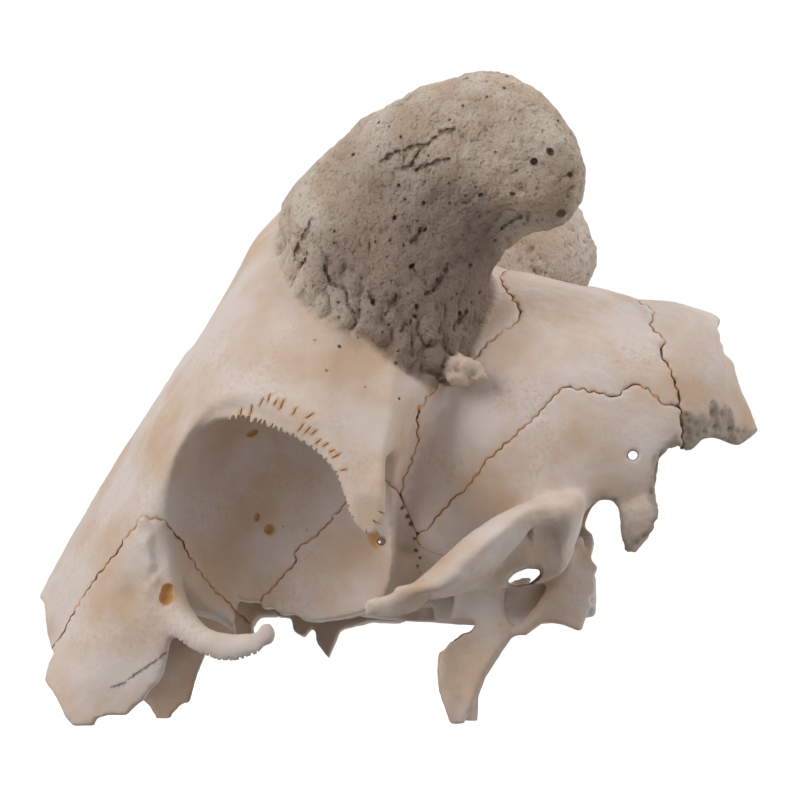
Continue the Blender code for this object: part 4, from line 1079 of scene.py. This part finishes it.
def mark_points(name, obj):
    side = HORN_SIDES.get(name, 0)
    places = vertex_places(obj.data) / MM
    horn = np.zeros(len(places))
    taupe_and_shade = np.zeros(len(places))
    if side:
        for i in np.flatnonzero(places[:, 2] > -4):
            horn[i], place = on_horn(places[i], side)
            # The right core gets half the horn mark, so it paints paler and its pits are shallower; the paler colour is
            # partly its own and partly a painted highlight for the light on its inner face.
            if side > 0:
                horn[i] *= 0.5
            if place is not None:
                # Painted shade: the horn's taupe deepens towards the core's near side, its back and its base and fades
                # towards the tip; it is partly the core's own grey-brown, partly painted shade.
                shade = 0.2 - 0.05 * place.y - 0.055 * place.x - max(0.0, place.z - 32) * 0.1
                taupe_and_shade[i] = min(1.0, max(0.0, shade + 0.6 * noise.noise(Vector(places[i]) * 0.09)))
    inner = np.zeros(len(places))
    for i, vert in enumerate(obj.data.vertices):
        hit, _, _, gap = cavity_tree.find_nearest(vert.co, 0.0022)
        if hit is not None:
            inner[i] = min(1.0, 2.0 - gap / MM / 1.1)
    add_attribute(obj, "suture", suture_stain(name, obj))
    add_attribute(obj, "hole", np.maximum(spot_stain(obj, "hole"), 0.7 * spot_stain(obj, "cleft")))
    add_attribute(obj, "pore", spot_stain(obj, "pore"))
    add_attribute(obj, "horn", horn)
    add_attribute(obj, "taupe_and_shade", taupe_and_shade)
    add_attribute(obj, "inner", inner)
    add_attribute(obj, "broken", broken_share(name, places))
    # Depth in creases, used only to paint shade into them.
    add_attribute(obj, "crease_shade", hollow(obj, 4))


for name, obj in bones.items():
    mark_points(name, obj)
    obj.data.transform(Matrix.Translation(SKULL_ORIGIN) @ SKULL_TURN)
    inside = np.clip(vertex_places(obj.data), *np.array(cad_box))
    obj.data.vertices.foreach_set("co", inside.astype(np.float32).ravel())
    obj.data.shade_smooth()
    obj.data.set_sharp_from_angle(angle=math.radians(55))

# Dry cleaned bone: compact bone boiled and bleached. It is matte, with a faint waxy depth, cream to pinkish tan in soft
# patches and fine grains; the horn cores are taupe, deepened with painted shade towards their near side, back and base;
# the sutures are rusty, and creases get painted shade.
BONE_CREAM = "#E0D2CA"
BONE_TAN = "#D2B69D"
BONE_ROSE = "#D3AB85"
RUST = "#C98E4E"
HOLE_ORANGE = "#CC995F"
# Brown of pores and specks, also used for the painted shade in creases.
PORE_BROWN_AND_SHADE = "#4E3C30"
HORN_TAUPE_AND_SHADE = "#9C8778"
HORN_BUFF = "#CDB59F"
HORN_CREAM = "#E2D3C3"
GREY_SPONGE = "#AF9F91"
INNER_BROWN = "#C6A888"


def linear(colour):
    values = [int(colour[i:i + 2], 16) / 255 for i in (1, 3, 5)]
    return [v / 12.92 if v <= 0.04045 else ((v + 0.055) / 1.055) ** 2.4 for v in values] + [1.0]


def node(tree, kind, links=None, **settings):
    """Adds a node; links join its inputs, settings fill its inputs or its own properties."""
    made = tree.nodes.new(kind)
    for key, value in settings.items():
        if hasattr(made, key):
            setattr(made, key, value)
        else:
            made.inputs[key.replace("_", " ")].default_value = value
    for key, source in (links or {}).items():
        if hasattr(source, "is_linked"):
            tree.links.new(source, made.inputs[key])
        else:
            made.inputs[key].default_value = source
    return made


def spread(tree, value, low, high, top=1.0):
    """The value stretched so that low becomes 0 and high becomes top, and held there."""
    ends = {"Value": value, "From Min": low, "From Max": high, "To Max": top}
    return node(tree, "ShaderNodeMapRange", ends).outputs["Result"]


def patches(tree, place, size, detail, low, high):
    """Soft noise with patches of a size in millimetres, spread from 0 to 1."""
    clouds = node(tree, "ShaderNodeTexNoise", {"Vector": place}, Scale=1000.0 / size, Detail=detail, Roughness=0.55)
    return spread(tree, clouds.outputs["Fac"], low, high)


def blend(tree, factor, one, two):
    mix = node(tree, "ShaderNodeMix", data_type="RGBA")
    for socket, value in ((mix.inputs[0], factor), (mix.inputs[6], one), (mix.inputs[7], two)):
        if isinstance(value, str):
            socket.default_value = linear(value)
        elif isinstance(value, float):
            socket.default_value = value
        else:
            tree.links.new(value, socket)
    return mix.outputs[2]


def math_node(tree, operation, one, two):
    return node(tree, "ShaderNodeMath", {0: one, 1: two}, operation=operation).outputs[0]


def bone_material(name):
    made = bpy.data.materials.new(name)
    made.use_nodes = True
    tree = made.node_tree
    shader = tree.nodes["Principled BSDF"]
    place = node(tree, "ShaderNodeTexCoord").outputs["Object"]
    marks = {
        key: node(tree, "ShaderNodeAttribute", attribute_name=key).outputs["Fac"]
        for key in ("suture", "hole", "pore", "horn", "taupe_and_shade", "inner", "broken", "crease_shade")
    }
    colour = blend(tree, patches(tree, place, 16.0, 3.0, 0.4, 0.66), BONE_CREAM, BONE_TAN)
    grains = math_node(tree, "MULTIPLY", patches(tree, place, 0.8, 2.0, 0.45, 0.75), patches(tree, place, 12.0, 2.0, 0.4, 0.65))
    colour = blend(tree, math_node(tree, "MULTIPLY", grains, 0.6), colour, BONE_ROSE)
    colour = blend(tree, math_node(tree, "MULTIPLY", marks["inner"], 0.6), colour, INNER_BROWN)
    colour = blend(tree, marks["broken"], colour, GREY_SPONGE)
    horn_colour = blend(tree, patches(tree, place, 9.0, 4.0, 0.4, 0.6), HORN_BUFF, HORN_CREAM)
    # The horn cores' taupe: partly their own grey-brown, partly painted shade on the near side, back and base.
    horn_colour = blend(tree, marks["taupe_and_shade"], horn_colour, HORN_TAUPE_AND_SHADE)
    specks = patches(tree, place, 0.8, 2.0, 0.56, 0.7)
    horn_colour = blend(tree, math_node(tree, "MULTIPLY", specks, 0.35), horn_colour, PORE_BROWN_AND_SHADE)
    colour = blend(tree, marks["horn"], colour, horn_colour)
    # Painted shade: points deep in creases and recesses are darkened towards brown.
    colour = blend(tree, spread(tree, marks["crease_shade"], 0.04, 0.3, 0.38), colour, PORE_BROWN_AND_SHADE)
    seam_rust = spread(tree, marks["suture"], 0.74, 0.93)
    colour = blend(tree, math_node(tree, "MULTIPLY", seam_rust, patches(tree, place, 4.0, 2.0, 0.3, 0.5)), colour, RUST)
    colour = blend(tree, math_node(tree, "MULTIPLY", marks["pore"], 0.55), colour, PORE_BROWN_AND_SHADE)
    colour = blend(tree, marks["hole"], colour, HOLE_ORANGE)
    tree.links.new(colour, shader.inputs["Base Color"])
    shader.inputs["Roughness"].default_value = 0.62
    shader.inputs["Specular IOR Level"].default_value = 0.3
    shader.inputs["Subsurface Weight"].default_value = 0.1
    shader.inputs["Subsurface Radius"].default_value = (1.0, 0.55, 0.35)
    shader.inputs["Subsurface Scale"].default_value = 0.0012
    rough = node(tree, "ShaderNodeMix", {0: marks["horn"], 2: 0.00016, 3: 0.0011}, data_type="FLOAT")
    grain = node(tree, "ShaderNodeTexNoise", {"Vector": place}, Scale=1000.0 / 0.7, Detail=4.0, Roughness=0.65)
    bump = node(tree, "ShaderNodeBump", {"Height": grain.outputs["Fac"], "Distance": rough.outputs[0]}, Strength=0.8)
    pumice = node(tree, "ShaderNodeTexVoronoi", {"Vector": place}, Scale=1000.0 / 1.3, Randomness=1.0)
    pits = math_node(tree, "MULTIPLY", spread(tree, pumice.outputs["Distance"], 0.12, 0.34), marks["horn"])
    bump = node(tree, "ShaderNodeBump", {"Height": pits, "Normal": bump.outputs["Normal"]}, Strength=0.7, Distance=0.0003)
    tree.links.new(bump.outputs["Normal"], shader.inputs["Normal"])
    return made


bone = bone_material("dry_cleaned_bone")
for name, obj in bones.items():
    obj.data.materials.clear()
    obj.data.materials.append(bone)
    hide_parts(name)
    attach(obj, "root")

# Studio: a white paper sweep under and behind the skull, that glows so that it stays white, five soft square lights
# round it, and the camera level with the orbits, just behind square to the side.
SHEET_WHITE = "#F6F5F3"
SHEET_GLOW = 0.85
bm = bmesh.new()
bmesh.ops.create_grid(bm, x_segments=2, y_segments=2, size=3.0)
floor = add_object("paper_floor", bm)
bm = bmesh.new()
bmesh.ops.create_grid(bm, x_segments=2, y_segments=2, size=3.0)
wall = add_object("paper_wall", bm)
wall.data.transform(Matrix.Translation((0, 2.5, 0)) @ Matrix.Rotation(math.radians(90), 4, "X"))
white = bpy.data.materials.new("white_paper_sweep")
white.use_nodes = True
paper = white.node_tree.nodes["Principled BSDF"]
paper.inputs["Base Color"].default_value = linear(SHEET_WHITE)
paper.inputs["Roughness"].default_value = 0.9
paper.inputs["Emission Color"].default_value = (1, 1, 1, 1)
paper.inputs["Emission Strength"].default_value = SHEET_GLOW
for sheet in (floor, wall):
    sheet.data.materials.append(white)
    sheet.visible_diffuse = False

world = bpy.data.worlds.new("studio")
bpy.context.scene.world = world
bpy.context.scene.view_settings.view_transform = "Standard"
world.use_nodes = True
world.node_tree.nodes["Background"].inputs["Color"].default_value = linear("#FFFFFF")
world.node_tree.nodes["Background"].inputs["Strength"].default_value = 0.2


def soft_light(name, place, size, power):
    light = bpy.data.lights.new(name, "AREA")
    light.shape = "SQUARE"
    light.size = size
    light.energy = power
    lamp = bpy.data.objects.new(name, light)
    bpy.context.scene.collection.objects.link(lamp)
    lamp.location = SKULL_ORIGIN + place
    lamp.rotation_euler = (-place).to_track_quat("-Z", "Y").to_euler()
    return lamp


def from_side(turn, height):
    """Place of a light 0.8 m off: turn in degrees from the camera's side, to the right, and height."""
    turn, height = math.radians(turn), math.radians(height)
    return 0.8 * Vector((math.sin(turn) * math.cos(height), -math.cos(turn) * math.cos(height), math.sin(height)))


soft_light("left_window", from_side(-50, 28), 0.45, 4.1)
soft_light("right_window", from_side(80, 32), 0.45, 2.1)
soft_light("top_rear", from_side(125, 70), 0.45, 1.2)
soft_light("front_right", from_side(45, 10), 0.45, 0.6)
soft_light("rear_high", from_side(170, 45), 0.45, 0.9)

AZIMUTH, ELEVATION, DISTANCE = math.radians(4.0), math.radians(-3.0), 0.8
camera_data = bpy.data.cameras.new("camera")
camera = bpy.data.objects.new("camera", camera_data)
bpy.context.scene.collection.objects.link(camera)
back = Vector((math.sin(AZIMUTH) * math.cos(ELEVATION), -math.cos(AZIMUTH) * math.cos(ELEVATION), math.sin(ELEVATION)))
right = Vector((math.cos(AZIMUTH), math.sin(AZIMUTH), 0))
up = right.cross(-back)
camera.matrix_world = Matrix.Translation(SKULL_ORIGIN + back * DISTANCE) @ Matrix((right, up, back)).transposed().to_4x4()
camera_data.sensor_width = 36.0
camera_data.lens = 190.8
camera_data.clip_start = 0.01
bpy.context.scene.camera = camera
